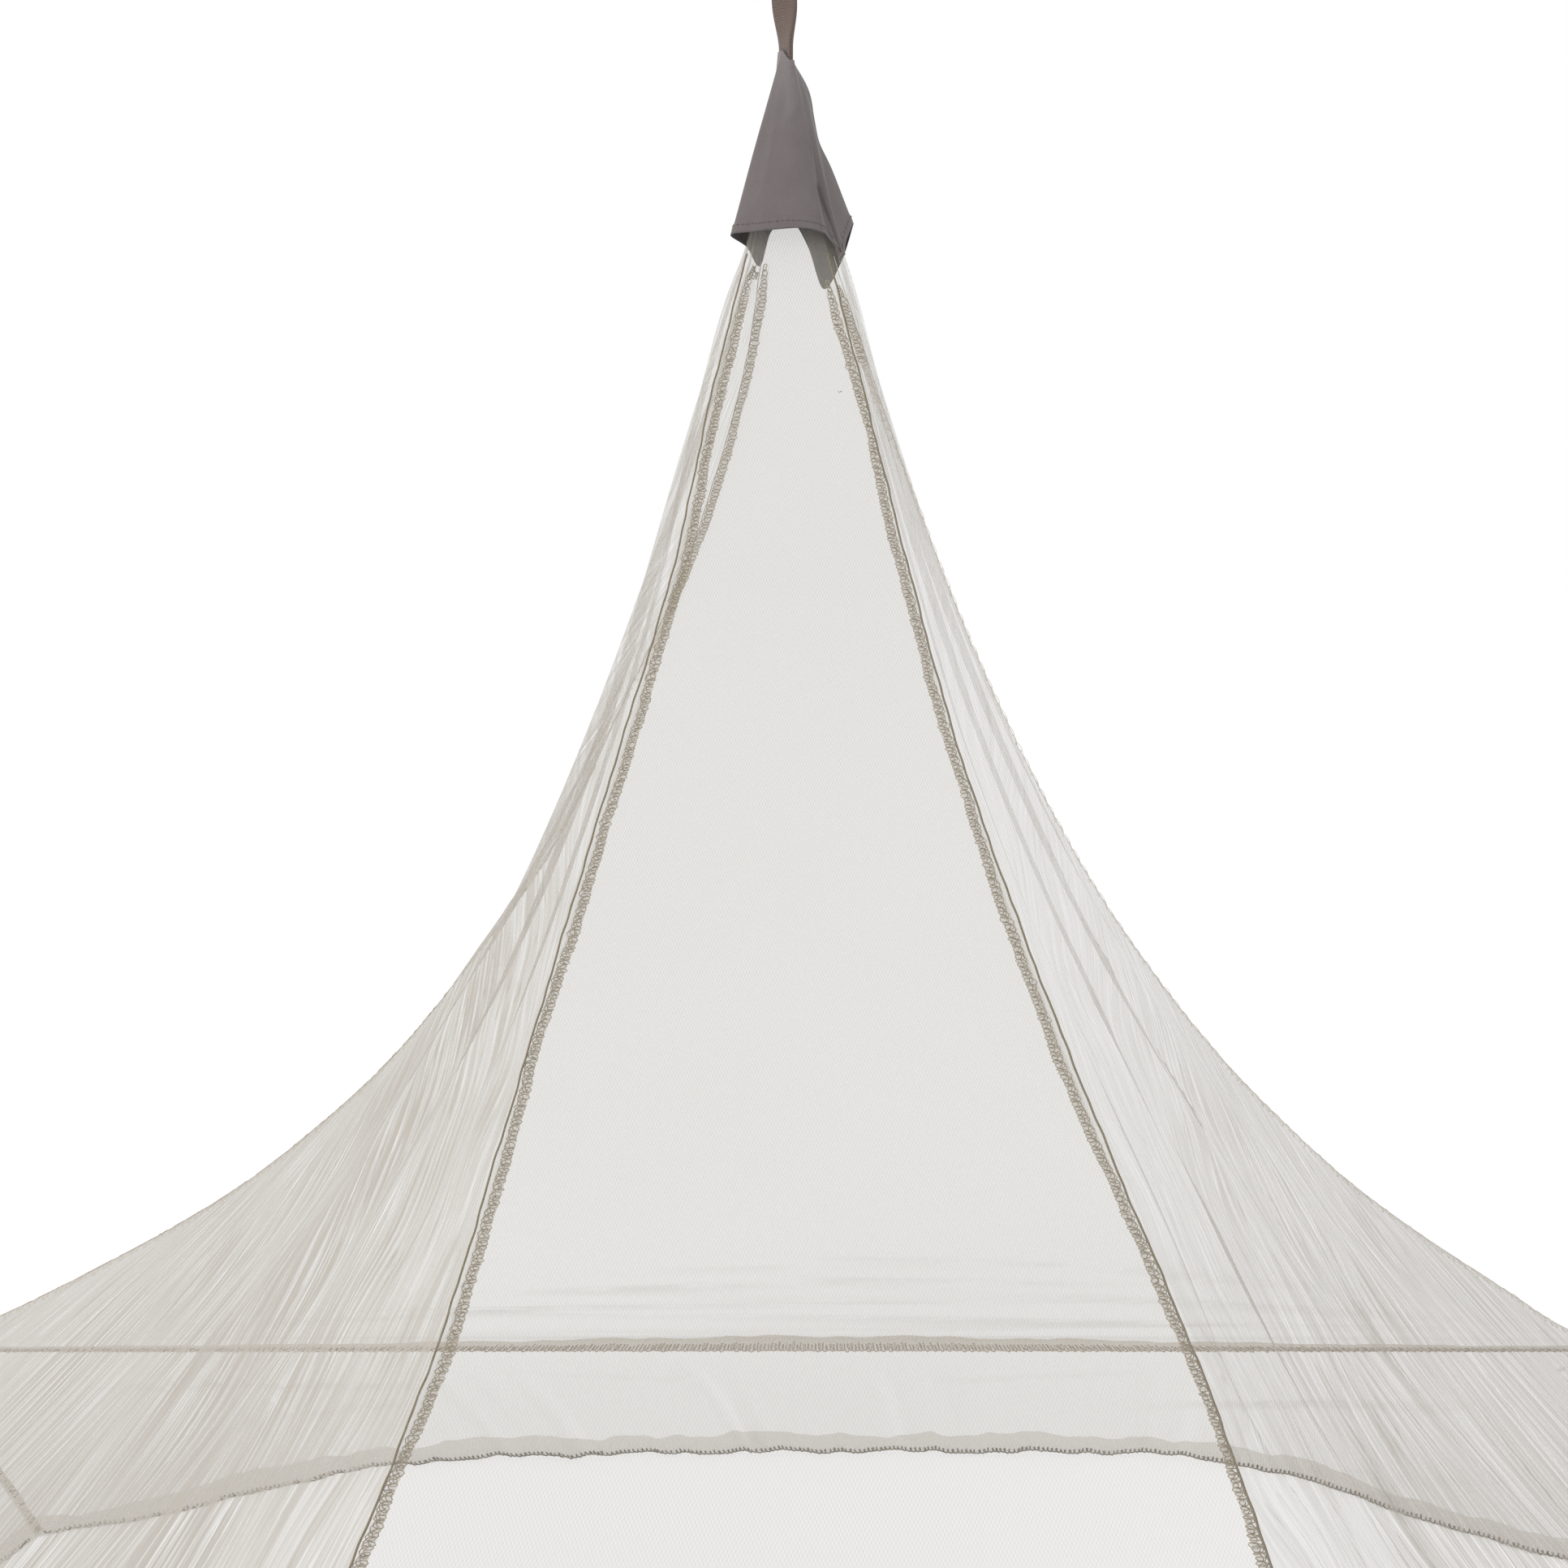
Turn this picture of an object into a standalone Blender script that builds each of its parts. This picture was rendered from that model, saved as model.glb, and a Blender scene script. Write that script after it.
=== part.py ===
"""Mosquito net canopy: a sheer pyramid net hung from one webbing loop, with a woven cap over its apex.

Metres, +Z up. The origin is the hang point, on the inside top of the loop. Seen along +Y, the front
panel slopes towards the viewer, and the steep back panel stands at the sleeper's head.
Every height below is above the floor that the skirt's hem reaches.
"""

import math
from collections import namedtuple

import bmesh
import bpy
from mathutils import Vector

# Driving dimensions
HANG_HEIGHT = 1.100  # inside top of the loop
NET_TOP = 0.975  # where the four panels are gathered and sewn to the loop
EAVE_HEIGHT = 0.091  # seam between the roof panels and the skirt
CLOTH = 0.0010  # net as modelled, so that the solids hold together
HEM_CLOTH = 0.0020  # the skirt's hem is turned up, two layers and a fold
HEM_SHARE = 0.85  # how far down the skirt its hem begins
EDGE_GAP = 0.0010  # from a panel's edge to the ridge it is sewn along
PIECE_GAP = 0.0004  # between pieces that touch on the real net
SKIRT_GAP = 0.0011  # from the eave down to the skirt's top edge

TAPE_WIDTH = 0.0150
TAPE_CLOTH = 0.0012
TAPE_LAYER = TAPE_CLOTH / 2 + 0.00015  # from the loop's middle to each of its two closed layers
EYE_RADIUS = 0.0062  # of the tape's centre line round the hook
TAPE_TWIST = math.radians(-66)  # at the cap, so that the tape shows its edge
TWIST_FROM, TWIST_TO = 1.010, 1.050  # heights between which the twist comes out
EYE_FROM = 1.022  # height at which the two layers part
TAPE_SHIFT = 0.0012  # the sewn end lies this far to the right of the hang point

CAP_CLOTH = 0.0010
CAP_MOUTH_LEFT, CAP_MOUTH_RIGHT = 1.0095, 1.0030  # the mouth slants down to the right
MOUTH_WIDE, MOUTH_DEEP = 0.0086, 0.0026  # half sizes of the mouth round the twisted tape

SEAM_START = 0.0035  # from the panel's edge to the overlocked allowance beside it
CORNER_SEAM_START = 0.0020  # and from the skirt's edge to the one in its corner
SEAM_WIDTH = 0.0075
SEAM_WAVER = 0.0012
EAVE_SEAM_START = {"back": 0.0012, "front": 0.0040, "left": 0.0040, "right": 0.0040}  # clear of the skirt
EAVE_SEAM_WIDTH = 0.0060
CORNER_SEAM_WIDTH = 0.0085

# The roof's sections, from the gathered top down to the eave. Each row gives the two ridges that a side
# panel hangs between, how far it stands out past the straight line between them, and where.
Section = namedtuple("Section", "height front_x front_y back_x back_y bow peak")
LEFT_SECTIONS = [
    Section(0.975, -0.0045, -0.0040, -0.0042, 0.0040, 0.0004, 0.50),
    Section(0.900, -0.0205, -0.0170, -0.0130, 0.0100, 0.0025, 0.40),
    Section(0.860, -0.0302, -0.0270, -0.0184, 0.0135, 0.0080, 0.32),
    Section(0.800, -0.0453, -0.0480, -0.0303, 0.0190, 0.0120, 0.45),
    Section(0.700, -0.0664, -0.1000, -0.0628, 0.0250, 0.0165, 0.60),
    Section(0.600, -0.0959, -0.1580, -0.1080, 0.0290, 0.0130, 0.70),
    Section(0.500, -0.1251, -0.2310, -0.1580, 0.0340, 0.0138, 0.75),
    Section(0.420, -0.1480, -0.3000, -0.2158, 0.0430, 0.0118, 0.78),
    Section(0.344, -0.1705, -0.4000, -0.2784, 0.0550, 0.0062, 0.70),
    Section(0.270, -0.2075, -0.5620, -0.3577, 0.0730, -0.0040, 0.50),
    Section(0.215, -0.2640, -0.7200, -0.4329, 0.0850, -0.0080, 0.50),
    Section(0.150, -0.3850, -1.0500, -0.5429, 0.1020, -0.0080, 0.50),
    Section(0.115, -0.5150, -1.3740, -0.6099, 0.1130, -0.0050, 0.50),
    Section(EAVE_HEIGHT, -0.6550, -1.7500, -0.6705, 0.1200, 0.0000, 0.50),
]
RIGHT_SECTIONS = [
    Section(0.975, 0.0065, -0.0040, 0.0062, 0.0040, 0.0004, 0.50),
    Section(0.900, 0.0240, -0.0170, 0.0275, 0.0080, 0.0062, 0.60),
    Section(0.860, 0.0347, -0.0270, 0.0415, 0.0135, 0.0055, 0.60),
    Section(0.800, 0.0501, -0.0480, 0.0620, 0.0190, 0.0025, 0.70),
    Section(0.700, 0.0746, -0.1000, 0.0993, 0.0250, 0.0015, 0.70),
    Section(0.600, 0.1014, -0.1580, 0.1432, 0.0290, 0.0030, 0.70),
    Section(0.500, 0.1362, -0.2310, 0.1962, 0.0340, 0.0020, 0.60),
    Section(0.420, 0.1679, -0.3000, 0.2492, 0.0430, 0.0000, 0.50),
    Section(0.344, 0.1998, -0.4000, 0.3097, 0.0550, -0.0030, 0.50),
    Section(0.270, 0.2240, -0.5620, 0.3817, 0.0730, -0.0060, 0.50),
    Section(0.215, 0.2660, -0.7200, 0.4463, 0.0850, -0.0090, 0.50),
    Section(0.150, 0.3900, -1.0500, 0.5369, 0.1020, -0.0090, 0.50),
    Section(0.115, 0.5200, -1.3740, 0.5863, 0.1130, -0.0060, 0.50),
    Section(EAVE_HEIGHT, 0.6600, -1.7500, 0.6384, 0.1200, 0.0000, 0.50),
]

# The main folds that fan down each side panel from the apex: where each lies between the front ridge (0)
# and the back ridge (1), its half width as a share of the panel, and how far it stands out.
Fold = namedtuple("Fold", "across width depth")
LEFT_FOLDS = [
    Fold(0.10, 0.045, -0.0030),
    Fold(0.21, 0.050, 0.0045),
    Fold(0.33, 0.045, -0.0035),
    Fold(0.45, 0.055, 0.0060),
    Fold(0.57, 0.045, -0.0050),
    Fold(0.69, 0.050, 0.0065),
    Fold(0.81, 0.045, -0.0045),
    Fold(0.91, 0.040, 0.0030),
]
RIGHT_FOLDS = [
    Fold(0.09, 0.040, 0.0030),
    Fold(0.19, 0.045, -0.0040),
    Fold(0.32, 0.055, 0.0055),
    Fold(0.46, 0.050, -0.0050),
    Fold(0.58, 0.050, 0.0060),
    Fold(0.70, 0.045, -0.0045),
    Fold(0.82, 0.050, 0.0050),
    Fold(0.92, 0.035, -0.0025),
]

# Soft wrinkles that run across the back panel above its taut lower seam.
Wrinkle = namedtuple("Wrinkle", "height width depth")
BACK_WRINKLES = [
    Wrinkle(0.103, 0.007, 0.0015),
    Wrinkle(0.127, 0.010, -0.0020),
    Wrinkle(0.155, 0.014, 0.0025),
]

# The skirt's hem on the floor, at even steps along the eave above it. The back corners are drawn inward.
Foot = namedtuple("Foot", "x y")
BACK_HEM = [
    Foot(-0.535, 0.013),
    Foot(-0.443, 0.045),
    Foot(-0.350, 0.092),
    Foot(-0.258, 0.117),
    Foot(-0.166, 0.124),
    Foot(-0.074, 0.128),
    Foot(0.018, 0.130),
    Foot(0.111, 0.130),
    Foot(0.203, 0.128),
    Foot(0.295, 0.125),
    Foot(0.388, 0.091),
    Foot(0.480, 0.023),
    Foot(0.572, -0.030),
]
LEFT_HEM = [
    Foot(-0.535, 0.013),
    Foot(-0.603, -0.195),
    Foot(-0.632, -0.404),
    Foot(-0.645, -0.610),
    Foot(-0.650, -0.820),
    Foot(-0.648, -1.030),
    Foot(-0.638, -1.240),
    Foot(-0.612, -1.450),
    Foot(-0.565, -1.655),
]
RIGHT_HEM = [
    Foot(0.572, -0.030),
    Foot(0.610, -0.215),
    Foot(0.630, -0.410),
    Foot(0.643, -0.610),
    Foot(0.652, -0.820),
    Foot(0.650, -1.030),
    Foot(0.640, -1.240),
    Foot(0.615, -1.450),
    Foot(0.570, -1.655),
]
FRONT_HEM = [
    Foot(-0.565, -1.655),
    Foot(-0.380, -1.712),
    Foot(-0.190, -1.742),
    Foot(0.000, -1.750),
    Foot(0.190, -1.745),
    Foot(0.380, -1.715),
    Foot(0.570, -1.655),
]
HEM_HEIGHT = 0.0012
SKIRT_BILLOW = 0.012  # how far the skirt stands out half-way down
SKIRT_RIPPLE = 0.0045  # and how far its lower edge waves in and out

# The cap's rim, once round from the middle of the back, by way of the left. It hangs in four points and
# arches up between them, most of all at the back.
Rim = namedtuple("Rim", "x y height")
CAP_RIM = [
    Rim(0.0040, 0.0260, 0.9120),  # back, arched up
    Rim(-0.0080, 0.0245, 0.9050),
    Rim(-0.0150, 0.0215, 0.8837),  # back left point
    Rim(-0.0225, 0.0020, 0.8935),
    Rim(-0.0320, -0.0215, 0.8990),  # front left point
    Rim(-0.0180, -0.0270, 0.9005),
    Rim(-0.0075, -0.0285, 0.9015),
    Rim(0.0095, -0.0285, 0.9026),  # front, arched up a little
    Rim(0.0217, -0.0275, 0.9006),
    Rim(0.0316, -0.0255, 0.8964),
    Rim(0.0405, -0.0225, 0.8887),  # front right point
    Rim(0.0400, -0.0100, 0.9010),
    Rim(0.0425, 0.0010, 0.9069),  # a flap folded outwards
    Rim(0.0360, 0.0150, 0.8860),
    Rim(0.0250, 0.0235, 0.8697),  # back right point
    Rim(0.0150, 0.0255, 0.8960),
]
# Soft folds of the cap: where round the rim, how wide, how far down it is deepest, over what share of
# the height, and how far it stands out.
Dent = namedtuple("Dent", "place width down length depth")
CAP_DENTS = [
    Dent(12.0, 2.2, 0.17, 0.16, 0.0042),
    Dent(12.0, 1.4, 0.50, 0.10, -0.0016),
    Dent(9.0, 0.8, 0.85, 0.30, -0.0022),
    Dent(6.0, 2.0, 0.55, 0.30, 0.0012),
]

# How finely each piece is divided
ROOF_ROWS = 2 * (len(LEFT_SECTIONS) - 1)
SIDE_COLUMNS, FRONT_COLUMNS, BACK_COLUMNS = 20, 8, 12
SKIRT_ROWS = 5
SKIRT_COLUMNS = {"left": 24, "right": 24, "front": 12, "back": 24}
SEAM_STEPS, EAVE_SEAM_COLUMNS = 2, 20  # steps of a seam for each row of its panel
SEAM_TOP_ROW = 2  # the ridge seams come out of the gathered top here, inside the cap
SEAM_END, CORNER_END = 0.010, 0.030  # and stop this share of the way short of the panel's edge
LEG_ROWS, ARC_ROWS = 14, 10
CAP_ROWS = 8

INSIDE = Vector((0.0, 0.0, -0.20 - HANG_HEIGHT))  # a point that the inner side of every panel faces
STEP = 1e-3  # for the slope of a surface


def at(x, y, height):
    """A point given by its height above the floor."""
    return Vector((x, y, height - HANG_HEIGHT))


def spline(before, here, after, beyond, t):
    """A smooth curve through here and after, shaped by the values either side of them."""
    return 0.5 * (
        2 * here
        + (after - before) * t
        + (2 * before - 5 * here + 4 * after - beyond) * t**2
        + (3 * here - before - 3 * after + beyond) * t**3
    )


def row_at(rows, share, closed=False):
    """The row this share of the way through a table, on a smooth curve through its rows."""
    spans = len(rows) if closed else len(rows) - 1
    index = min(int(share * spans), spans - 1)
    near = []
    for step in (-1, 0, 1, 2):
        place = index + step
        near.append(rows[place % len(rows) if closed else min(max(place, 0), spans)])
    t = share * spans - index
    return type(rows[0])(*(spline(*values, t) for values in zip(*near)))


def bump(distance, width):
    """A soft hill, 1 at no distance and nearly 0 at twice its width."""
    return math.exp(-((distance / width) ** 2))


def smooth(value):
    """0 to 1 with no corner at either end."""
    value = min(max(value, 0.0), 1.0)
    return value * value * (3 - 2 * value)


def wander(along, seed):
    """An uneven wave between about -1 and 1, for edges that no two hands sew alike."""
    return 0.5 * math.sin(along * 23 + seed) + 0.3 * math.sin(along * 61 + 2.3 * seed) + 0.2 * math.sin(
        along * 97 + 4.1 * seed
    )


# The roof's surfaces: each gives a point from the share across the panel and the share down it.


def side_surface(sections, folds, outward):
    def surface(across, down):
        row = row_at(sections, down)
        front = Vector((row.front_x, row.front_y))
        chord = Vector((row.back_x, row.back_y)) - front
        away = outward * Vector((-chord.y, chord.x)).normalized()
        bow = row.bow * math.sin(math.pi * max(across, 0.0) ** (math.log(0.5) / math.log(row.peak)))
        fold = sum(f.depth * bump(across - f.across, f.width) for f in folds)
        slack = math.sin(math.pi * down) * math.sin(math.pi * min(max(across, 0.0), 1.0)) ** 0.5
        place = front + chord * across + away * (bow + fold * slack)
        return at(place.x, place.y, row.height)

    return surface


def front_surface(across, down):
    left, right = row_at(LEFT_SECTIONS, down), row_at(RIGHT_SECTIONS, down)
    start, end = at(left.front_x, left.front_y, left.height), at(right.front_x, right.front_y, right.height)
    return start.lerp(end, across)


def back_surface(across, down):
    left, right = row_at(LEFT_SECTIONS, down), row_at(RIGHT_SECTIONS, down)
    start, end = at(left.back_x, left.back_y, left.height), at(right.back_x, right.back_y, right.height)
    place = start.lerp(end, across)
    wrinkle = sum(w.depth * bump(left.height - w.height, w.width) for w in BACK_WRINKLES)
    place.y += wrinkle * math.sin(math.pi * across) ** 2
    return place


def skirt_surface(start, end, hem, seed):
    """Cloth from the eave's straight line down to a hem that is drawn in at the corners."""
    outward = Vector((end.y - start.y, start.x - end.x, 0)).normalized()
    middle = (start + end) / 2
    if outward.dot(Vector((middle.x - INSIDE.x, middle.y - INSIDE.y, 0))) < 0:
        outward = -outward

    def surface(along, down):
        foot = row_at(hem, min(max(along, 0.0), 1.0))
        top = start.lerp(end, along)
        place = top.lerp(at(foot.x, foot.y, HEM_HEIGHT), down)
        free = math.sin(math.pi * min(max(along, 0.0), 1.0)) ** 0.5
        billow = SKIRT_BILLOW * math.sin(math.pi * down) + SKIRT_RIPPLE * down * wander(3 * along, seed)
        return place + outward * billow * free

    return surface


def faceted(surface, columns, rows):
    """The flat facets that the cloth's grid makes of a surface, for what lies close against it."""

    def flat(across, down):
        column = min(max(int(across * columns), 0), columns - 1)
        row = min(max(int(down * rows), 0), rows - 1)
        beside, below = across * columns - column, down * rows - row
        top = surface(column / columns, row / rows).lerp(surface((column + 1) / columns, row / rows), beside)
        foot = surface(column / columns, (row + 1) / rows).lerp(
            surface((column + 1) / columns, (row + 1) / rows), beside
        )
        return top.lerp(foot, below)

    return flat


def width_of(surface, down):
    return (surface(1.0, down) - surface(0.0, down)).length


def inset(surface):
    """The same surface, with its two long edges drawn in from the ridges by the sewing gap."""

    def inner(across, down):
        margin = EDGE_GAP / width_of(surface, down)
        return surface(margin + across * (1 - 2 * margin), down)

    return inner


def inward(surface, across, down):
    """The surface's normal, on the side that faces the sleeper."""
    across, down = min(max(across, STEP), 1 - STEP), min(max(down, STEP), 1 - STEP)
    here = surface(across, down)
    normal = (surface(across + STEP, down) - surface(across - STEP, down)).cross(
        surface(across, down + STEP) - surface(across, down - STEP)
    )
    normal.normalize()
    return normal if normal.dot(INSIDE - here) > 0 else -normal


# Making the pieces


def material(name, colour, roughness, alpha=1.0):
    made = bpy.data.materials.new(name)
    made.use_nodes = True
    shader = made.node_tree.nodes["Principled BSDF"]
    shader.inputs["Base Color"].default_value = (*colour, 1.0)
    shader.inputs["Roughness"].default_value = roughness
    shader.inputs["Metallic"].default_value = 0.0
    shader.inputs["Alpha"].default_value = alpha
    return made


def sheet(name, columns, rows, place, cloth, finish, closed=False, thick=None):
    """Cloth on a surface: a grid laid on place(across, down), then thickened.

    Where thick is given, it says for a share down whether the cloth is at its full thickness there,
    and elsewhere it has the usual one.
    """
    shape = bmesh.new()
    bmesh.ops.create_grid(shape, x_segments=columns, y_segments=rows, size=0.5)
    shares = {}
    for vertex in shape.verts:
        shares[vertex] = (vertex.co.x + 0.5, 0.5 - vertex.co.y)
    full = [vertex.index for vertex, (_, down) in shares.items() if thick and thick(down)]
    for vertex, (across, down) in shares.items():
        vertex.co = place(across, down)
    if closed:
        bmesh.ops.remove_doubles(shape, verts=shape.verts, dist=1e-6)
    mesh = bpy.data.meshes.new(name)
    shape.to_mesh(mesh)
    shape.free()
    mesh.materials.append(finish)
    piece = bpy.data.objects.new(name, mesh)
    COLLECTION.objects.link(piece)
    thicken = piece.modifiers.new("cloth", "SOLIDIFY")
    thicken.thickness = cloth
    thicken.offset = 0.0
    thicken.use_quality_normals = True
    if thick:
        piece.vertex_groups.new(name="full").add(full, 1.0, "REPLACE")
        thicken.vertex_group = "full"
        thicken.thickness_vertex_group = CLOTH / cloth
    return piece


def ridge_seam(name, surface, at_end, first, rows, ends, start, width, depth, seed):
    """The overlocked allowance inside a panel, along one of its edges.

    Its steps fall on the rows of the panel's grid from the first one, and it ends short of the last row.
    """

    def place(across, along):
        down = min(max((first + along * (rows - first)) / rows, ends), 1 - ends)
        reach = start + across * (width + SEAM_WAVER * wander(6 * along, seed))
        share = reach / width_of(surface, down)
        share = 1 - share if at_end else share
        return surface(share, down) + depth * inward(surface, share, down)

    sheet(name, 1, SEAM_STEPS * (rows - first), place, CLOTH, SEAM_FINISH)


def eave_seam(name, surface, start, depth):
    """The allowance inside a roof panel, along the eave."""

    def place(across, along):
        share = 0.02 + 0.96 * along
        run = (surface(share, 1.0) - surface(share, 1 - STEP)).length / STEP
        down = 1 - (start + across * EAVE_SEAM_WIDTH) / run
        return surface(share, down) + depth * inward(surface, share, down)

    sheet(name, 1, EAVE_SEAM_COLUMNS, place, CLOTH, SEAM_FINISH)


def mouth_at(azimuth):
    """The cap's mouth, an oblong round the twisted tape, in a direction from its middle."""
    turned = azimuth - TAPE_TWIST
    wide, deep = abs(math.cos(turned)), abs(math.sin(turned))
    radius = min(MOUTH_WIDE / max(wide, STEP), MOUTH_DEEP / max(deep, STEP))
    return Vector((TAPE_SHIFT + radius * math.cos(azimuth), radius * math.sin(azimuth)))


def cap_point(around, down):
    rim = row_at(CAP_RIM, around % 1.0, closed=True)
    azimuth = math.atan2(rim.y, rim.x - TAPE_SHIFT)
    mouth = mouth_at(azimuth)
    slant = smooth((mouth.x - TAPE_SHIFT) / (2 * MOUTH_DEEP) + 0.5)
    mouth_height = CAP_MOUTH_LEFT + (CAP_MOUTH_RIGHT - CAP_MOUTH_LEFT) * slant
    place = mouth.lerp(Vector((rim.x, rim.y)), down)
    index = around * len(CAP_RIM)
    push = sum(
        d.depth * bump(index - d.place, d.width) * bump(down - d.down, d.length) for d in CAP_DENTS
    )
    place += push * Vector((math.cos(azimuth), math.sin(azimuth)))
    return at(place.x, place.y, mouth_height + (rim.height - mouth_height) * down)


def cap():
    sheet("cap", 2 * len(CAP_RIM), CAP_ROWS, cap_point, CAP_CLOTH, CAP_FINISH, closed=True)


def tape_point(across, along):
    """Webbing up from the cap, round the hook and down again, its two sewn ends twisted edge-on."""
    row = along * (2 * LEG_ROWS + ARC_ROWS)
    arc_height = HANG_HEIGHT + TAPE_CLOTH / 2 - EYE_RADIUS
    bottom = NET_TOP + CLOTH / 2 + PIECE_GAP
    back_row = row - LEG_ROWS - ARC_ROWS
    if 0 <= row - LEG_ROWS <= ARC_ROWS:
        turn = math.pi * (row - LEG_ROWS) / ARC_ROWS
        layer, height = -EYE_RADIUS * math.cos(turn), arc_height + EYE_RADIUS * math.sin(turn)
    else:
        rise = row / LEG_ROWS if back_row < 0 else 1 - back_row / LEG_ROWS
        height = bottom + (arc_height - bottom) * rise
        layer = TAPE_LAYER + (EYE_RADIUS - TAPE_LAYER) * smooth(
            (height - EYE_FROM) / (arc_height - EYE_FROM)
        )
        layer = -layer if back_row < 0 else layer
    sewn = 1 - smooth((height - TWIST_FROM) / (TWIST_TO - TWIST_FROM))
    twist = TAPE_TWIST * sewn
    side = (across - 0.5) * TAPE_WIDTH
    x = TAPE_SHIFT * sewn + side * math.cos(twist) - layer * math.sin(twist)
    y = side * math.sin(twist) + layer * math.cos(twist)
    return at(x, y, height)


def hang_loop():
    sheet("hang_loop", 1, 2 * LEG_ROWS + ARC_ROWS, tape_point, TAPE_CLOTH, TAPE_FINISH)


def roof():
    seam_depth = CLOTH + PIECE_GAP
    panels = {
        "front_panel": (front_surface, FRONT_COLUMNS),
        "back_panel": (back_surface, BACK_COLUMNS),
        "left_panel": (side_surface(LEFT_SECTIONS, LEFT_FOLDS, 1.0), SIDE_COLUMNS),
        "right_panel": (side_surface(RIGHT_SECTIONS, RIGHT_FOLDS, -1.0), SIDE_COLUMNS),
    }
    for name, (surface, columns) in panels.items():
        sheet(name, columns, ROOF_ROWS, inset(surface), CLOTH, NET_FINISH)
        facets = faceted(inset(surface), columns, ROOF_ROWS)
        eave_seam(name.replace("panel", "eave_seam"), facets, EAVE_SEAM_START[name.split("_")[0]], seam_depth)
        if name.startswith(("left", "right")):
            continue
        for seed, side in enumerate(("left", "right")):
            seam, at_end = name.replace("panel", "seam_") + side, side == "right"
            rows, sizes = (SEAM_TOP_ROW, ROOF_ROWS, SEAM_END), (SEAM_START, SEAM_WIDTH, seam_depth)
            ridge_seam(seam, facets, at_end, *rows, *sizes, seed + columns)


def skirt():
    lift = EAVE_HEIGHT - SKIRT_GAP
    left, right = LEFT_SECTIONS[-1], RIGHT_SECTIONS[-1]
    back_left, back_right = at(left.back_x, left.back_y, lift), at(right.back_x, right.back_y, lift)
    front_left, front_right = at(left.front_x, left.front_y, lift), at(right.front_x, right.front_y, lift)
    sides = {
        "back": (back_left, back_right, BACK_HEM),
        "left": (back_left, front_left, LEFT_HEM),
        "right": (back_right, front_right, RIGHT_HEM),
        "front": (front_left, front_right, FRONT_HEM),
    }
    hem_power = math.log(HEM_SHARE) / math.log(1 - 1 / SKIRT_ROWS)
    seam_depth = HEM_CLOTH / 2 + CLOTH / 2 + PIECE_GAP
    for seed, (name, (start, end, hem)) in enumerate(sides.items()):
        surface = skirt_surface(start, end, hem, seed)
        inner = inset(surface)

        def hung(along, down, inner=inner):
            return inner(along, down**hem_power)

        columns, hem_row = SKIRT_COLUMNS[name], 1 - 1.5 / SKIRT_ROWS
        sheet(
            f"{name}_skirt", columns, SKIRT_ROWS, hung, HEM_CLOTH, NET_FINISH, thick=lambda down: down > hem_row
        )
        if name in ("left", "right"):
            continue
        facets = faceted(hung, columns, SKIRT_ROWS)
        for side in ("left", "right"):
            seam, at_end = f"{name}_corner_{side}", side == "right"
            rows, sizes = (0, SKIRT_ROWS, CORNER_END), (CORNER_SEAM_START, CORNER_SEAM_WIDTH, seam_depth)
            ridge_seam(seam, facets, at_end, *rows, *sizes, seed)


for old in list(bpy.data.objects):
    bpy.data.objects.remove(old, do_unlink=True)
COLLECTION = bpy.data.collections.new("mosquito net canopy")
bpy.context.scene.collection.children.link(COLLECTION)

NET_FINISH = material("sheer net", (0.62, 0.59, 0.55), 0.85, 0.35)
SEAM_FINISH = material("overlocked edge", (0.42, 0.39, 0.34), 0.85)
CAP_FINISH = material("woven polyester", (0.19, 0.165, 0.165), 0.75)
TAPE_FINISH = material("grosgrain webbing", (0.20, 0.145, 0.125), 0.80)

roof()
skirt()
cap()
hang_loop()
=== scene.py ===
"""A mosquito net canopy: sheer creased net, overlocked seams, a woven cap and a webbing loop.

Metres, +Z up, the origin at the hang point inside the loop's top. Heights in the tables are above the floor.
The tables and surfaces are those that the solids are built on, with the fine forms laid on top of them.
"""

import random
from collections import namedtuple
from functools import partial
from math import pi, radians

import bmesh
import bpy
import numpy as np
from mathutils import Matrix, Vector
from numpy import arctan2, clip, cos, interp, linspace, ones_like, sin, stack, zeros_like


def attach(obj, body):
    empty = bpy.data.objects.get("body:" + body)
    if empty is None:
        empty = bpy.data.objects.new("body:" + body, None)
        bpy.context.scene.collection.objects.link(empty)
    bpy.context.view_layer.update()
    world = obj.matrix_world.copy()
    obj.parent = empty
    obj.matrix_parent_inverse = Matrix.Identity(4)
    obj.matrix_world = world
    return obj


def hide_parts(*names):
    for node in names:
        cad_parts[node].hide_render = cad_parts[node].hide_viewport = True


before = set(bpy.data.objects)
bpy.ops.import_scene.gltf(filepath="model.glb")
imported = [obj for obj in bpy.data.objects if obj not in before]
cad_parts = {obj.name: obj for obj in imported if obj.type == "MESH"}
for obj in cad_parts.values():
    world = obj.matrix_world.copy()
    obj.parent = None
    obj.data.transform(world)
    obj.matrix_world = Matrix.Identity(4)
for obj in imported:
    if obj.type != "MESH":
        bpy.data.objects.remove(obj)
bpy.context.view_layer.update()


def table(kind, *rows):
    """Rows whose columns have names."""
    return [kind(*row) for row in rows]


# ---- sizes shared with the solids

HANG_HEIGHT = 1.1  # inside top of the loop
NET_TOP = 0.975  # where the four panels are gathered and sewn to the loop
EAVE_HEIGHT = 0.091  # seam between the roof panels and the skirt
SKIRT_GAP = 0.0011
HEM_HEIGHT = 0.0012

TAPE_WIDTH = 0.015
TAPE_CLOTH = 0.0012
TAPE_LAYER = TAPE_CLOTH / 2 + 0.00015  # from the loop's middle to each of its two closed layers
EYE_RADIUS = 0.0062
TAPE_TWIST = radians(-66)
TWIST_FROM, TWIST_TO = 1.01, 1.05
EYE_FROM = 1.022
TAPE_SHIFT = 0.0012

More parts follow.
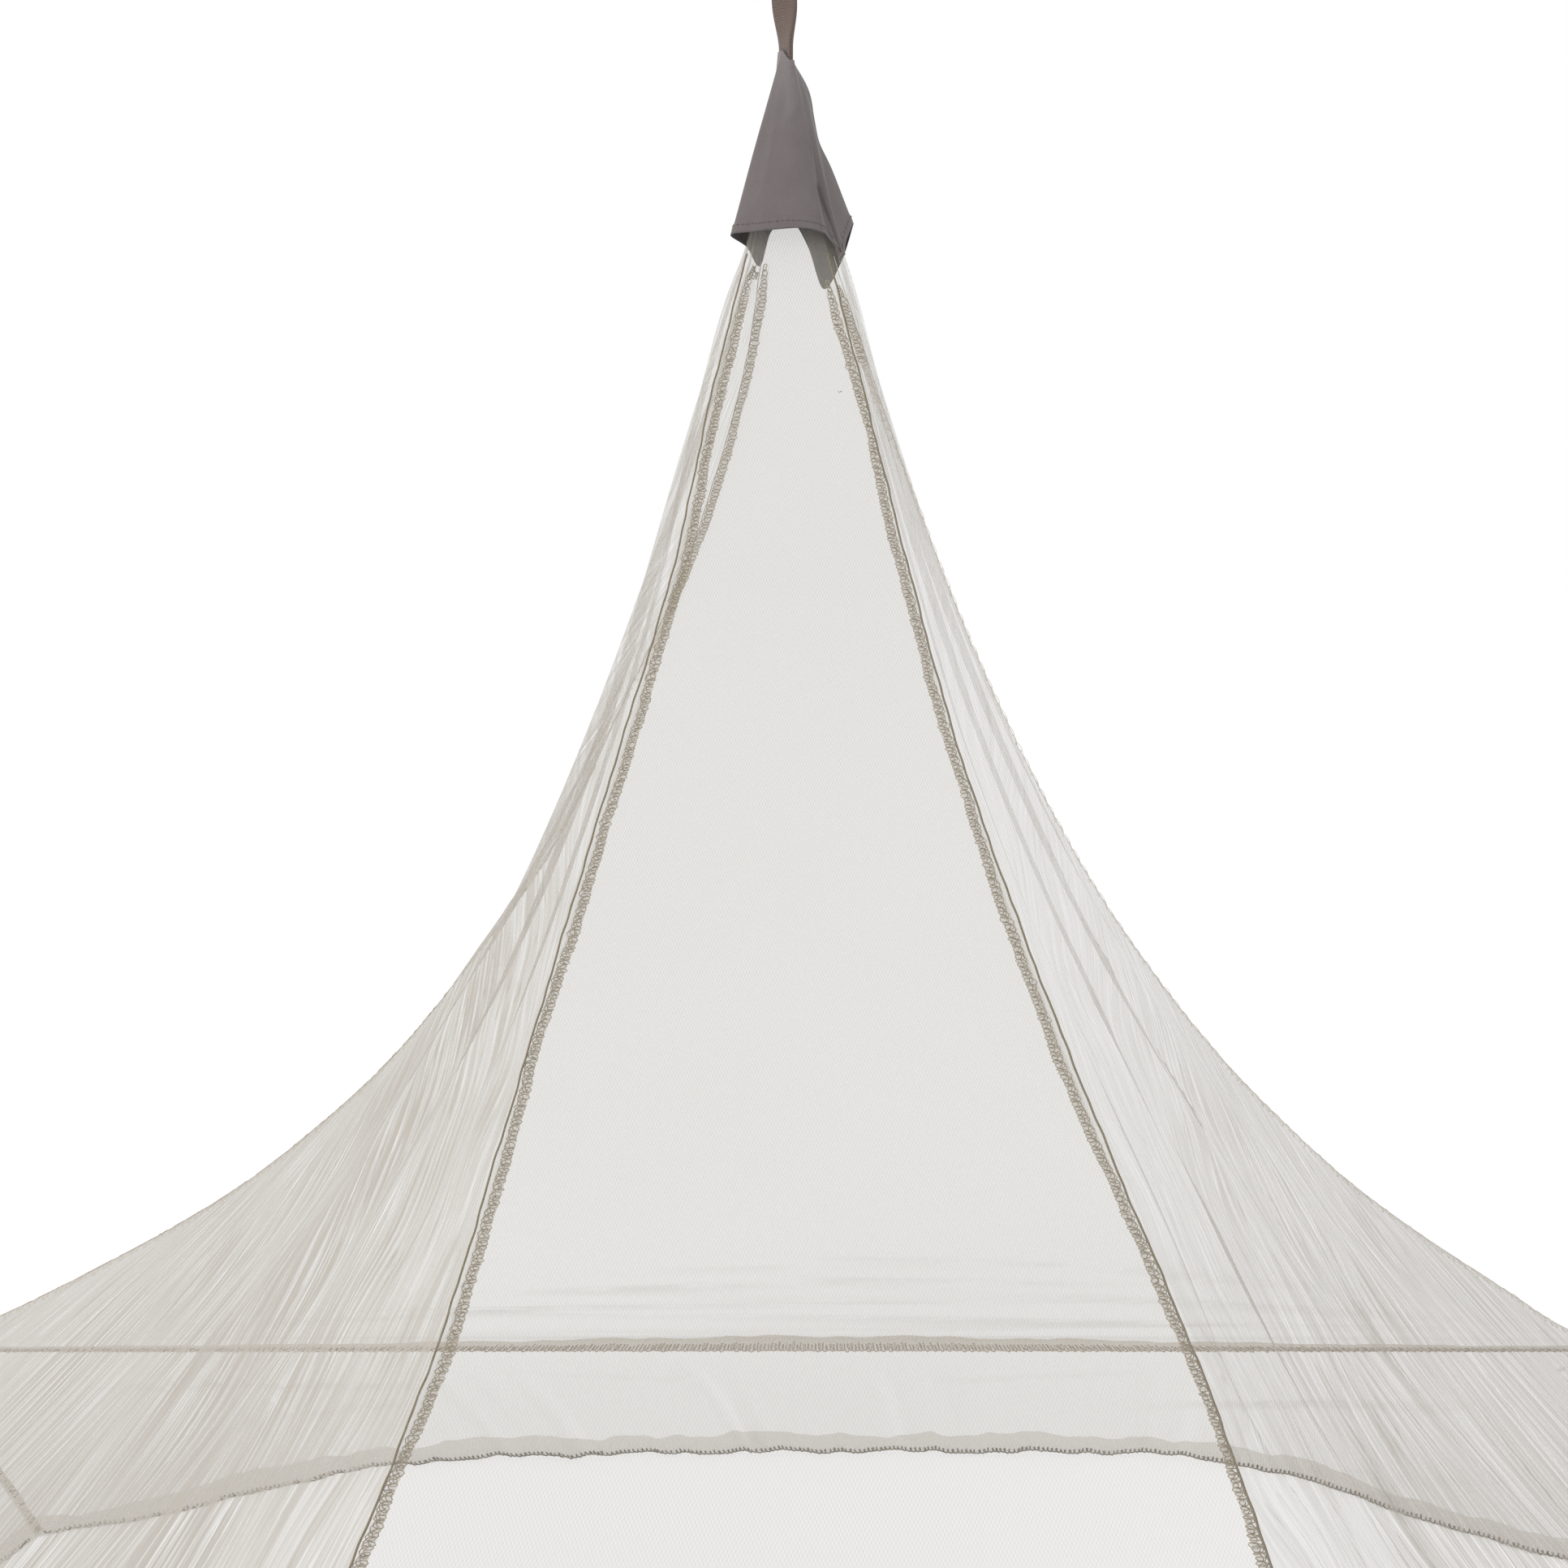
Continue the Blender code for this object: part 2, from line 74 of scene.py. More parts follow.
CAP_MOUTH_LEFT, CAP_MOUTH_RIGHT = 1.0095, 1.003
MOUTH_WIDE, MOUTH_DEEP = 0.0086, 0.0026

Section = namedtuple("Section", "height front_x front_y back_x back_y bow peak")
LEFT_SECTIONS = table(
    Section,
    (0.975, -0.0045, -0.004, -0.0042, 0.004, 0.0004, 0.5),
    (0.9, -0.0205, -0.017, -0.013, 0.01, 0.0025, 0.4),
    (0.86, -0.0302, -0.027, -0.0184, 0.0135, 0.008, 0.32),
    (0.8, -0.0453, -0.048, -0.0303, 0.019, 0.012, 0.45),
    (0.7, -0.0664, -0.1, -0.0628, 0.025, 0.0165, 0.6),
    (0.6, -0.0959, -0.158, -0.108, 0.029, 0.013, 0.7),
    (0.5, -0.1251, -0.231, -0.158, 0.034, 0.0138, 0.75),
    (0.42, -0.148, -0.3, -0.2158, 0.043, 0.0118, 0.78),
    (0.344, -0.1705, -0.4, -0.2784, 0.055, 0.0062, 0.7),
    (0.27, -0.2075, -0.562, -0.3577, 0.073, -0.004, 0.5),
    (0.215, -0.264, -0.72, -0.4329, 0.085, -0.008, 0.5),
    (0.15, -0.385, -1.05, -0.5429, 0.102, -0.008, 0.5),
    (0.115, -0.515, -1.374, -0.6099, 0.113, -0.005, 0.5),
    (EAVE_HEIGHT, -0.655, -1.75, -0.6705, 0.12, 0.0, 0.5),
)
RIGHT_SECTIONS = table(
    Section,
    (0.975, 0.0065, -0.004, 0.0062, 0.004, 0.0004, 0.5),
    (0.9, 0.024, -0.017, 0.0275, 0.008, 0.0062, 0.6),
    (0.86, 0.0347, -0.027, 0.0415, 0.0135, 0.0055, 0.6),
    (0.8, 0.0501, -0.048, 0.062, 0.019, 0.0025, 0.7),
    (0.7, 0.0746, -0.1, 0.0993, 0.025, 0.0015, 0.7),
    (0.6, 0.1014, -0.158, 0.1432, 0.029, 0.003, 0.7),
    (0.5, 0.1362, -0.231, 0.1962, 0.034, 0.002, 0.6),
    (0.42, 0.1679, -0.3, 0.2492, 0.043, 0.0, 0.5),
    (0.344, 0.1998, -0.4, 0.3097, 0.055, -0.003, 0.5),
    (0.27, 0.224, -0.562, 0.3817, 0.073, -0.006, 0.5),
    (0.215, 0.266, -0.72, 0.4463, 0.085, -0.009, 0.5),
    (0.15, 0.39, -1.05, 0.5369, 0.102, -0.009, 0.5),
    (0.115, 0.52, -1.374, 0.5863, 0.113, -0.006, 0.5),
    (EAVE_HEIGHT, 0.66, -1.75, 0.6384, 0.12, 0.0, 0.5),
)

Fold = namedtuple("Fold", "across width depth")
LEFT_FOLDS = table(
    Fold,
    (0.1, 0.045, -0.003),
    (0.21, 0.05, 0.0045),
    (0.33, 0.045, -0.0035),
    (0.45, 0.055, 0.006),
    (0.57, 0.045, -0.005),
    (0.69, 0.05, 0.0065),
    (0.81, 0.045, -0.0045),
    (0.91, 0.04, 0.003),
)
RIGHT_FOLDS = table(
    Fold,
    (0.09, 0.04, 0.003),
    (0.19, 0.045, -0.004),
    (0.32, 0.055, 0.0055),
    (0.46, 0.05, -0.005),
    (0.58, 0.05, 0.006),
    (0.7, 0.045, -0.0045),
    (0.82, 0.05, 0.005),
    (0.92, 0.035, -0.0025),
)

Foot = namedtuple("Foot", "x y")
BACK_HEM = table(
    Foot,
    (-0.535, 0.013), (-0.443, 0.045), (-0.35, 0.092), (-0.258, 0.117), (-0.166, 0.124),
    (-0.074, 0.128), (0.018, 0.13), (0.111, 0.13), (0.203, 0.128), (0.295, 0.125),
    (0.388, 0.091), (0.48, 0.023), (0.572, -0.03),
)
LEFT_HEM = table(
    Foot,
    (-0.535, 0.013), (-0.603, -0.195), (-0.632, -0.404), (-0.645, -0.61), (-0.65, -0.82),
    (-0.648, -1.03), (-0.638, -1.24), (-0.612, -1.45), (-0.565, -1.655),
)
RIGHT_HEM = table(
    Foot,
    (0.572, -0.03), (0.61, -0.215), (0.63, -0.41), (0.643, -0.61), (0.652, -0.82),
    (0.65, -1.03), (0.64, -1.24), (0.615, -1.45), (0.57, -1.655),
)
FRONT_HEM = table(
    Foot,
    (-0.565, -1.655), (-0.38, -1.712), (-0.19, -1.742), (0.0, -1.75), (0.19, -1.745),
    (0.38, -1.715), (0.57, -1.655),
)

Rim = namedtuple("Rim", "x y height")
CAP_RIM = table(
    Rim,
    (0.004, 0.026, 0.912),
    (-0.008, 0.0245, 0.905),
    (-0.015, 0.0215, 0.8837),
    (-0.0225, 0.002, 0.8935),
    (-0.032, -0.0215, 0.899),
    (-0.018, -0.027, 0.9005),
    (-0.0075, -0.0285, 0.9015),
    (0.0095, -0.0285, 0.9026),
    (0.0217, -0.0275, 0.9006),
    (0.0316, -0.0255, 0.8964),
    (0.0405, -0.0225, 0.8887),
    (0.04, -0.01, 0.901),
    (0.0425, 0.001, 0.9069),
    (0.036, 0.015, 0.886),
    (0.025, 0.0235, 0.8697),
    (0.015, 0.0255, 0.896),
)

# ---- fine forms

# The folds that fan down each side panel and can be told apart. Each keeps one place in the fan, from 0 at
# the apex to 1 at the foot of the back ridge, and has a half width and a height in metres, a sway and the
# shares down between which it runs. A negative height is a trough.
Crease = namedtuple("Crease", "place width height sway starts ends")
LEFT_CREASES = table(
    Crease,
    (0.02, 0.0022, 0.0003, 0.005, 0.1, 0.95),
    (0.052, 0.0027, -0.0004, 0.004, 0.18, 0.97),
    (0.087, 0.0024, 0.0005, 0.002, 0.3, 0.9),
    (0.118, 0.0031, 0.0005, 0.004, 0.34, 0.93),
    (0.148, 0.0027, 0.0006, 0.005, 0.4, 0.95),
    (0.168, 0.0024, -0.0005, 0.002, 0.44, 0.9),
    (0.192, 0.0031, 0.0006, 0.007, 0.42, 0.96),
    (0.224, 0.0035, 0.0008, 0.005, 0.44, 0.97),
    (0.252, 0.0031, 0.0008, 0.006, 0.48, 0.96),
    (0.286, 0.0035, -0.0006, 0.005, 0.5, 0.94),
    (0.33, 0.004, 0.0007, 0.007, 0.55, 0.97),
    (0.385, 0.0035, -0.0006, 0.005, 0.6, 0.96),
    (0.44, 0.0042, 0.0007, 0.007, 0.64, 0.98),
    (0.51, 0.004, -0.0006, 0.006, 0.68, 0.97),
    (0.585, 0.0044, 0.0006, 0.007, 0.72, 0.98),
    (0.67, 0.004, 0.0006, 0.006, 0.78, 0.98),
    (0.77, 0.0044, -0.0006, 0.007, 0.83, 0.98),
    (0.87, 0.004, 0.0006, 0.005, 0.89, 0.99),
)
RIGHT_CREASES = table(
    Crease,
    (0.018, 0.0041, -0.0008, 0.009, 0.12, 0.94),
    (0.048, 0.0044, 0.001, 0.007, 0.2, 0.96),
    (0.08, 0.0049, 0.001, 0.007, 0.28, 0.92),
    (0.12, 0.0053, 0.0017, 0.007, 0.44, 0.95),
    (0.155, 0.0049, 0.0019, 0.009, 0.42, 0.97),
    (0.188, 0.0049, -0.0014, 0.009, 0.4, 0.93),
    (0.226, 0.0058, 0.0022, 0.007, 0.4, 0.97),
    (0.254, 0.0049, -0.0014, 0.011, 0.46, 0.94),
    (0.282, 0.0061, 0.0022, 0.009, 0.46, 0.97),
    (0.33, 0.0046, 0.0014, 0.008, 0.52, 0.97),
    (0.375, 0.0041, -0.0011, 0.006, 0.56, 0.95),
    (0.425, 0.0046, 0.0013, 0.006, 0.6, 0.98),
    (0.49, 0.0052, 0.0012, 0.007, 0.65, 0.97),
    (0.56, 0.0046, -0.0011, 0.006, 0.7, 0.97),
    (0.64, 0.0055, 0.0012, 0.007, 0.76, 0.98),
    (0.735, 0.0052, 0.0011, 0.006, 0.81, 0.98),
    (0.83, 0.0058, -0.0009, 0.007, 0.86, 0.98),
    (0.92, 0.0052, 0.0009, 0.005, 0.92, 0.99),
)

# Soft wrinkles that run along the back panel above its taut seam: middle, height there, how far the height
# rises to the right for each metre, half length, half width and how far it stands out.
Wrinkle = namedtuple("Wrinkle", "x height rise length width depth")
BACK_WRINKLES = table(
    Wrinkle,
    (0.02, 0.101, 0.0, 0.7, 0.0026, 0.0029),
    (-0.1, 0.1085, 0.01, 0.45, 0.003, -0.0026),
    (0.2, 0.117, -0.022, 0.4, 0.0034, 0.0036),
    (-0.13, 0.13, 0.024, 0.2, 0.003, 0.0034),
    (0.34, 0.132, -0.075, 0.22, 0.0039, 0.0039),
    (0.06, 0.139, -0.02, 0.16, 0.003, -0.0026),
    (-0.1, 0.149, 0.038, 0.12, 0.003, 0.0036),
    (0.13, 0.154, -0.024, 0.15, 0.0034, 0.0031),
    (-0.04, 0.166, 0.03, 0.1, 0.003, 0.0026),
    (0.1, 0.173, -0.03, 0.13, 0.0034, 0.0029),
    (0.3, 0.162, -0.11, 0.14, 0.0034, -0.0029),
    (-0.36, 0.118, 0.06, 0.16, 0.0034, 0.0029),
)

# Tucks that run slantwise over the back skirt: shares along and down it where each starts and ends, its half
# width and how far it stands out, in metres.
Tuck = namedtuple("Tuck", "along down to_along to_down width depth")
BACK_TUCKS = table(
    Tuck,
    (0.7, 0.66, 0.975, 0.25, 0.0029, 0.0029),
    (0.82, 0.97, 0.97, 0.62, 0.0029, 0.0024),
    (0.56, 0.4, 0.76, 0.2, 0.0026, -0.0018),
    (0.04, 0.22, 0.33, 0.44, 0.0029, 0.0024),
    (0.1, 0.62, 0.3, 0.52, 0.0026, 0.0019),
    (0.33, 0.24, 0.48, 0.38, 0.0026, -0.0015),
)

# ---- curves through tables


def at(x, y, height):
    """Points given by their heights above the floor."""
    return stack(np.broadcast_arrays(x, y, height - HANG_HEIGHT), axis=-1)


def row_at(rows, share, closed=False):
    """The row at each share of the way through a table, on a smooth curve through its rows."""
    given = np.array(rows, float)
    spans = len(given) if closed else len(given) - 1
    share = np.asarray(share, float)
    index = clip((share * spans).astype(int), 0, spans - 1)
    t = (share * spans - index)[..., None]
    near = []
    for step in (-1, 0, 1, 2):
        place = index + step
        near.append(given[place % len(given) if closed else clip(place, 0, spans)])
    before, here, after, beyond = near
    values = 0.5 * (
        2 * here
        + (after - before) * t
        + (2 * before - 5 * here + 4 * after - beyond) * t**2
        + (3 * here - before - 3 * after + beyond) * t**3
    )
    return type(rows[0])(*np.moveaxis(values, -1, 0))


def bump(distance, width):
    """A soft hill, 1 at no distance and nearly 0 at twice its width."""
    return np.exp(-((distance / width) ** 2))


def crisp(distance, width):
    """A hill with a sharper crest, as taut cloth folds."""
    return np.exp(-np.abs(distance / width) ** 1.3)


def smooth(value):
    """0 to 1 with no corner at either end."""
    value = clip(value, 0.0, 1.0)
    return value * value * (3 - 2 * value)


def faded_out(height, share, margin):
    """A relief that dies away towards both ends of a panel."""
    return height * smooth(share / margin) * smooth((1 - share) / margin)


def wander(along, seed):
    """An uneven wave between about -1 and 1, for edges that no two hands sew alike."""
    return (
        0.5 * sin(along * 23 + seed)
        + 0.3 * sin(along * 61 + 2.3 * seed)
        + 0.2 * sin(along * 97 + 4.1 * seed)
    )


def length(vectors):
    return np.linalg.norm(vectors, axis=-1)


def unit(vectors):
    return vectors / length(vectors)[..., None]


FAN_X, FAN_Y = 0.7, -2.1  # from above, a side panel's creases run as if they met here, past its corner
FAN_FROM, FAN_SPAN = -0.32, 0.307  # bearings from there: the apex's, and on to the foot of the back ridge
GATHERED = 0.021  # bearing that the gathered cloth takes up where the panel is narrow


def fan(sections, outward, bend, eddy):
    """The place in the fan of each point of a side panel: it stays the same all the way down a crease."""

    def place(across, down):
        row = row_at(sections, down)
        front = arctan2(-outward * row.front_x - FAN_X, row.front_y - FAN_Y)
        back = arctan2(-outward * row.back_x - FAN_X, row.back_y - FAN_Y)
        spread = np.hypot(back - front, GATHERED)
        found = (front - FAN_FROM + spread * (1 - clip(1 - across, 0, 1) ** bend)) / FAN_SPAN
        return found - eddy * smooth((down - 0.49) / 0.12) * bump(found - 0.165, 0.045)

    return place


# ---- the surfaces that the cloth lies on


def side_surface(sections, folds, outward):
    def surface(across, down):
        row = row_at(sections, down)
        front = stack((row.front_x, row.front_y), axis=-1)
        chord = stack((row.back_x, row.back_y), axis=-1) - front
        away = outward * unit(stack((-chord[..., 1], chord[..., 0]), axis=-1))
        inside = clip(across, 0.0, 1.0)
        bow = row.bow * sin(pi * inside ** (np.log(0.5) / np.log(clip(row.peak, 0.1, 0.9))))
        fold = sum(f.depth * bump(across - f.across, f.width) for f in folds)
        slack = sin(pi * down) * np.sqrt(clip(sin(pi * inside), 0, 1))
        place = front + chord * np.asarray(across)[..., None] + away * (bow + fold * slack)[..., None]
        return at(place[..., 0], place[..., 1], row.height)

    return surface


def between(edge):
    def surface(across, down):
        start, end = edge(row_at(LEFT_SECTIONS, down)), edge(row_at(RIGHT_SECTIONS, down))
        return start + (end - start) * np.asarray(across)[..., None]

    return surface


def front_edge(row):
    return at(row.front_x, row.front_y, row.height)


def back_edge(row):
    return at(row.back_x, row.back_y, row.height)


def skirt_surface(start, end, hem, seed):
    """Cloth from the eave's straight line down to a hem that is drawn in at the corners."""
    outward = unit(np.array([end[1] - start[1], start[0] - end[0], 0.0]))
    if outward @ ((start + end) / 2 * np.array([1, 1, 0])) < 0:
        outward = -outward

    def surface(along, down):
        inside = clip(along, 0.0, 1.0)
        foot = row_at(hem, inside)
        top = start + (end - start) * np.asarray(along)[..., None]
        low = at(foot.x, foot.y, np.full_like(foot.x, HEM_HEIGHT))
        place = top + (low - top) * np.asarray(down)[..., None]
        free = np.sqrt(clip(sin(pi * inside), 0, 1))
        billow = SKIRT_BILLOW * sin(pi * down) + SKIRT_RIPPLE * down * wander(3 * along, seed)
        return place + outward * (billow * free)[..., None]

    return surface


SKIRT_BILLOW = 0.012
SKIRT_RIPPLE = 0.0045
STEP = 1e-3  # for the slope of a surface


def patch(surface, across, down):
    """Along the surface's normal at each point, and as long as the cloth there is wide and deep."""
    a, d = clip(across, STEP, 1 - STEP), clip(down, STEP, 1 - STEP)
    along = surface(a + STEP, d) - surface(a - STEP, d)
    return np.cross(along, surface(a, d + STEP) - surface(a, d - STEP))


def normal_of(surface, across, down, towards):
    """The surface's normals, on the side of the point that is given."""
    normal = unit(patch(surface, across, down))
    place = surface(clip(across, STEP, 1 - STEP), clip(down, STEP, 1 - STEP))
    return normal * np.sign(np.sum(normal * (towards - place), axis=-1, keepdims=True))


def width_at(surface, down):
    """How wide a surface is at shares down it."""
    return length(surface(ones_like(down), down) - surface(zeros_like(down), down))


INSIDE = np.array([0.0, -0.25, -0.2 - HANG_HEIGHT])  # a point that the inner side of every panel faces


def raised(surface, relief):
    """The surface with a relief on it, in metres outwards."""

    def formed(across, down):
        outward = -normal_of(surface, across, down, INSIDE)
        return surface(across, down) + outward * relief(across, down)[..., None]

    return formed


# ---- materials


def srgb(code):
    """The linear colour of an sRGB hex value."""
    channels = [int(code[i : i + 2], 16) / 255 for i in (0, 2, 4)]
    return [c / 12.92 if c <= 0.04045 else ((c + 0.055) / 1.055) ** 2.4 for c in channels] + [1.0]


def new_node(tree, kind, feeds=(), output=0, **settings):
    """An output of a new node. Its inputs, by place or by name, are fed with sockets or values.

    A second word in the kind is the node's operation.
    """
    kind, _, operation = kind.partition(" ")
    node = tree.nodes.new("ShaderNode" + kind)
    if operation:
        node.operation = operation
    for name, value in settings.items():
        setattr(node, name, value)
    for key, source in feeds.items() if isinstance(feeds, dict) else enumerate(feeds):
        if isinstance(source, bpy.types.NodeSocket):
            tree.links.new(source, node.inputs[key])
        else:
            node.inputs[key].default_value = source
    return node.outputs[output]


def surfaced(name, roughness, specular, sheen=0.0):
    """A new material, its shader, and what links to that and adds nodes."""
    made = bpy.data.materials.new(name)
    made.use_nodes = True
    shader = made.node_tree.nodes["Principled BSDF"]
    shader.inputs["Roughness"].default_value = roughness
    shader.inputs["Specular IOR Level"].default_value = specular
    shader.inputs["Sheen Weight"].default_value = sheen
    return made, shader, made.node_tree.links.new, partial(new_node, made.node_tree)


def on_cut(add):
    """The place on the flat cloth, in metres: as one socket, across and down."""
    cut = add("UVMap", uv_map="cut")
    return (cut, *add("SeparateXYZ", (cut,)).node.outputs[:2])


def wave(add, shape, distance, period):
    return add("Math " + shape, (add("Math MULTIPLY", (distance, 2 * pi / period)),))


# The real net repeats every 1.35 mm across and 4.2 mm down. Across it is drawn a third coarser than it is.
NET_ACROSS = 0.0018
NET_DOWN = 0.0042
# Streaks: about how many to the whole fan, and how many from the apex to the foot.
FINE, SLIT = (215.0, 14.0, 1.0), (255.0, 27.0, 1.0)
LINE, SWELL = (100.0, 8.0, 1.0), (14.0, 3.0, 1.0)


def net_material(name, colour, cover, lattice=0.2, creased=False):
    """Warp-knitted polyester net: matt grey-beige threads over open holes, so it veils what lies behind it.

    It covers more where a fold stands the threads on edge, which the cloth's own "gather" says. Creased net
    shows dark lines along its creases and light slits between them, as crowded as its "crowd" says.
    """
    made, shader, link, add = surfaced(name, 0.75, 0.2, 0.15)
    _, across, down = on_cut(add)
    wales, courses = wave(add, "COSINE", across, NET_ACROSS), wave(add, "COSINE", down, NET_DOWN)
    if creased:  # its holes show where it hangs smooth, and blur where it is crowded
        crowd = add("Attribute", output="Fac", attribute_name="crowd")
        lattice = add("Math MULTIPLY_ADD", (crowd, -0.6 * lattice, 0.7 * lattice))
    holes = add("Math MULTIPLY_ADD", (add("Math MULTIPLY", (wales, courses)), lattice, 1.0))
    gather = add("Attribute", output="Fac", attribute_name="gather")
    covered = add("Math MULTIPLY", (add("Math MULTIPLY", (gather, holes)), cover))
    if creased:
        fine = add("Math MULTIPLY_ADD", (streaked(add, FINE), 3.3, -1.65))
        slit = add("Math MULTIPLY_ADD", (streaked(add, SLIT), 9.0, -5.1), use_clamp=True)
        fine = add("Math MULTIPLY", (add("Math MULTIPLY_ADD", (slit, -0.65, fine)), crowd))
        off_line = add("Math ABSOLUTE", (add("Math SUBTRACT", (streaked(add, LINE), 0.5)),))
        line = add("Math MULTIPLY_ADD", (off_line, -70.0, 1.0), use_clamp=True)
        swell = add("Math MULTIPLY_ADD", (streaked(add, SWELL), 0.3, 0.85))
        streak = add("Math ADD", (add("Math MULTIPLY_ADD", (line, 0.6, swell)), fine))
        covered = add("Math MULTIPLY", (covered, streak))
    here = add("TexCoord", output="Object")
    cloud = add("TexNoise", {0: here, "Scale": 5.0, "Detail": 2.0})
    covered = add("Math MULTIPLY", (covered, add("Math MULTIPLY_ADD", (cloud, 0.16, 0.92))))
    link(add("Math MINIMUM", (covered, 0.96)), shader.inputs["Alpha"])
    shader.inputs["Base Color"].default_value = srgb(colour)
    return made


def streaked(add, scale):
    """Noise drawn out along the creases of a side panel."""
    stretched = add("Mapping", {0: add("UVMap", uv_map="fan"), 3: scale})
    return add("TexNoise", {0: stretched, "Scale": 1.0, "Detail": 2.0})


def thread_material(name, light, dark, speck=0.0012):
    """Textured polyester thread, matt, with painted highlights where its filaments would catch the light and
    painted shade in between.
    """
    made, shader, link, add = surfaced(name, 0.85, 0.2)
    here = add("TexCoord", output="Object")
    painted_fibre_light = add("TexNoise", {0: here, "Scale": 1.0 / speck, "Detail": 2.0, "Roughness": 0.7})
    shade = add("Mix", {0: painted_fibre_light, 6: srgb(dark), 7: srgb(light)}, output=2, data_type="RGBA")
    link(shade, shader.inputs["Base Color"])
    return made


def woven(shader, link, add, tone, stops, height, strength, distance):
    """Colours a weave between two tones, and gives it its relief."""
    ramp = add("ValToRGB", (tone,))
    for stop, (position, code) in zip(ramp.node.color_ramp.elements, stops):
        stop.position = position
        stop.color = srgb(code)
    link(ramp, shader.inputs["Base Color"])
    relief = add("Bump", {"Height": height, "Strength": strength, "Distance": distance})
    link(relief, shader.inputs["Normal"])


CAP_WEAVE = 0.0011  # a plain weave of fine yarn, drawn three times as coarse as it is


def cap_material(name, dark, light):
    """Plain-woven polyester, grey-taupe and matt, with faint slubs, a little uneven dye and painted light
    that lightens it towards its peak.
    """
    made, shader, link, add = surfaced(name, 0.7, 0.25, 0.2)
    cut, across, down = on_cut(add)
    weave = add("Math MULTIPLY", (wave(add, "SINE", across, CAP_WEAVE), wave(add, "SINE", down, CAP_WEAVE)))
    slubs = add("Mapping", {0: cut, 3: (260.0, 1400.0, 1.0)})
    slub = add("TexNoise", {0: slubs, "Scale": 1.0, "Detail": 3.0, "Roughness": 0.65})
    cloud = add("TexNoise", {0: cut, "Scale": 38.0, "Detail": 3.0})
    tone = add("Math MULTIPLY_ADD", (slub, 0.5, add("Math MULTIPLY", (cloud, 0.5))))
    tone = add("Math MULTIPLY_ADD", (weave, 0.06, tone))
    painted_light_at_peak = add("Math MULTIPLY_ADD", (down, -16.0, 0.9), use_clamp=True)  # painted light: lighter near its peak, where the light falls on it
    tone = add("Math MULTIPLY_ADD", (painted_light_at_peak, 0.42, tone), use_clamp=True)
    height = add("Math MULTIPLY_ADD", (slub, 0.4, weave))
    woven(shader, link, add, tone, ((0.3, dark), (1.0, light)), height, 0.25, 0.00012)
    return made


RIB = 0.00095  # from one cross rib to the next
SELVEDGE = 0.0011  # width of the closely woven edge


def webbing_material():
    """Polyester grosgrain webbing, taupe, with fine cross ribs and a lighter dotted edge on both sides."""
    made, shader, link, add = surfaced("grosgrain webbing", 0.65, 0.3, 0.1)
    cut, across, down = on_cut(add)
    ribs, yarns = wave(add, "SINE", down, RIB), wave(add, "SINE", across, 0.8 * RIB)
    inward = add("Math SUBTRACT", (TAPE_WIDTH / 2, add("Math ABSOLUTE", (across,))))
    edge = add("Math LESS_THAN", (inward, SELVEDGE))
    uneven = add("TexNoise", {0: cut, "Scale": 900.0, "Detail": 2.0})
    tone = add("Math MULTIPLY_ADD", (ribs, 0.26, add("Math MULTIPLY", (uneven, 0.9))))
    tone = add("Math MULTIPLY_ADD", (edge, add("Math MULTIPLY", (ribs, 0.5)), tone))
    tone = add("Math MULTIPLY_ADD", (yarns, 0.07, tone), use_clamp=True)
    height = add("Math MULTIPLY_ADD", (yarns, 0.3, ribs))
    woven(shader, link, add, tone, ((0.1, "564842"), (0.95, "77675f")), height, 0.6, 0.0002)
    return made


# ---- making cloth and thread


def piece_of(name, mesh, finish):
    mesh.materials.append(finish)
    piece = bpy.data.objects.new(name, mesh)
    COLLECTION.objects.link(piece)
    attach(piece, "root")
    return piece


def grid(columns, rows):
    """A flat grid's mesh, with the share across and the share down of each of its points."""
    shape = bmesh.new()
    bmesh.ops.create_grid(shape, x_segments=columns, y_segments=rows, size=0.5)
    mesh = bpy.data.meshes.new("grid")
    shape.to_mesh(mesh)
    shape.free()
    points = np.empty(len(mesh.vertices) * 3, np.float32)
    mesh.vertices.foreach_get("co", points)
    x, y, _ = points.reshape(-1, 3).astype(float).T
    return mesh, x + 0.5, 0.5 - y


def lay(mesh, points):
    mesh.vertices.foreach_set("co", points.astype(np.float32).ravel())
    mesh.shade_smooth()


def thicken(piece, name, thickness):
    solid = piece.modifiers.new(name, "SOLIDIFY")
    solid.thickness, solid.offset = thickness, 0.0
    return solid


def uv_layer(mesh, name, across, down):
    corners = np.empty(len(mesh.loops), np.int32)
    mesh.loops.foreach_get("vertex_index", corners)
    places = stack((across[corners], down[corners]), axis=-1)
    mesh.uv_layers.new(name=name).data.foreach_set("uv", places.astype(np.float32).ravel())


def float_layer(mesh, name, values):
    layer = mesh.attributes.new(name, "FLOAT", "POINT")
    layer.data.foreach_set("value", np.asarray(values, np.float32))


def cut_lengths(surface, across, down):
    """Where each point lies on the flat cloth: metres from its middle line, and metres down it."""
    stations = linspace(0, 1, 201)
    middle = surface(np.full_like(stations, 0.5), stations)
    run = np.concatenate([[0], np.cumsum(length(np.diff(middle, axis=0)))])
    width = interp(down, stations, width_at(surface, stations))
    return (across - 0.5) * width, interp(down, stations, run)


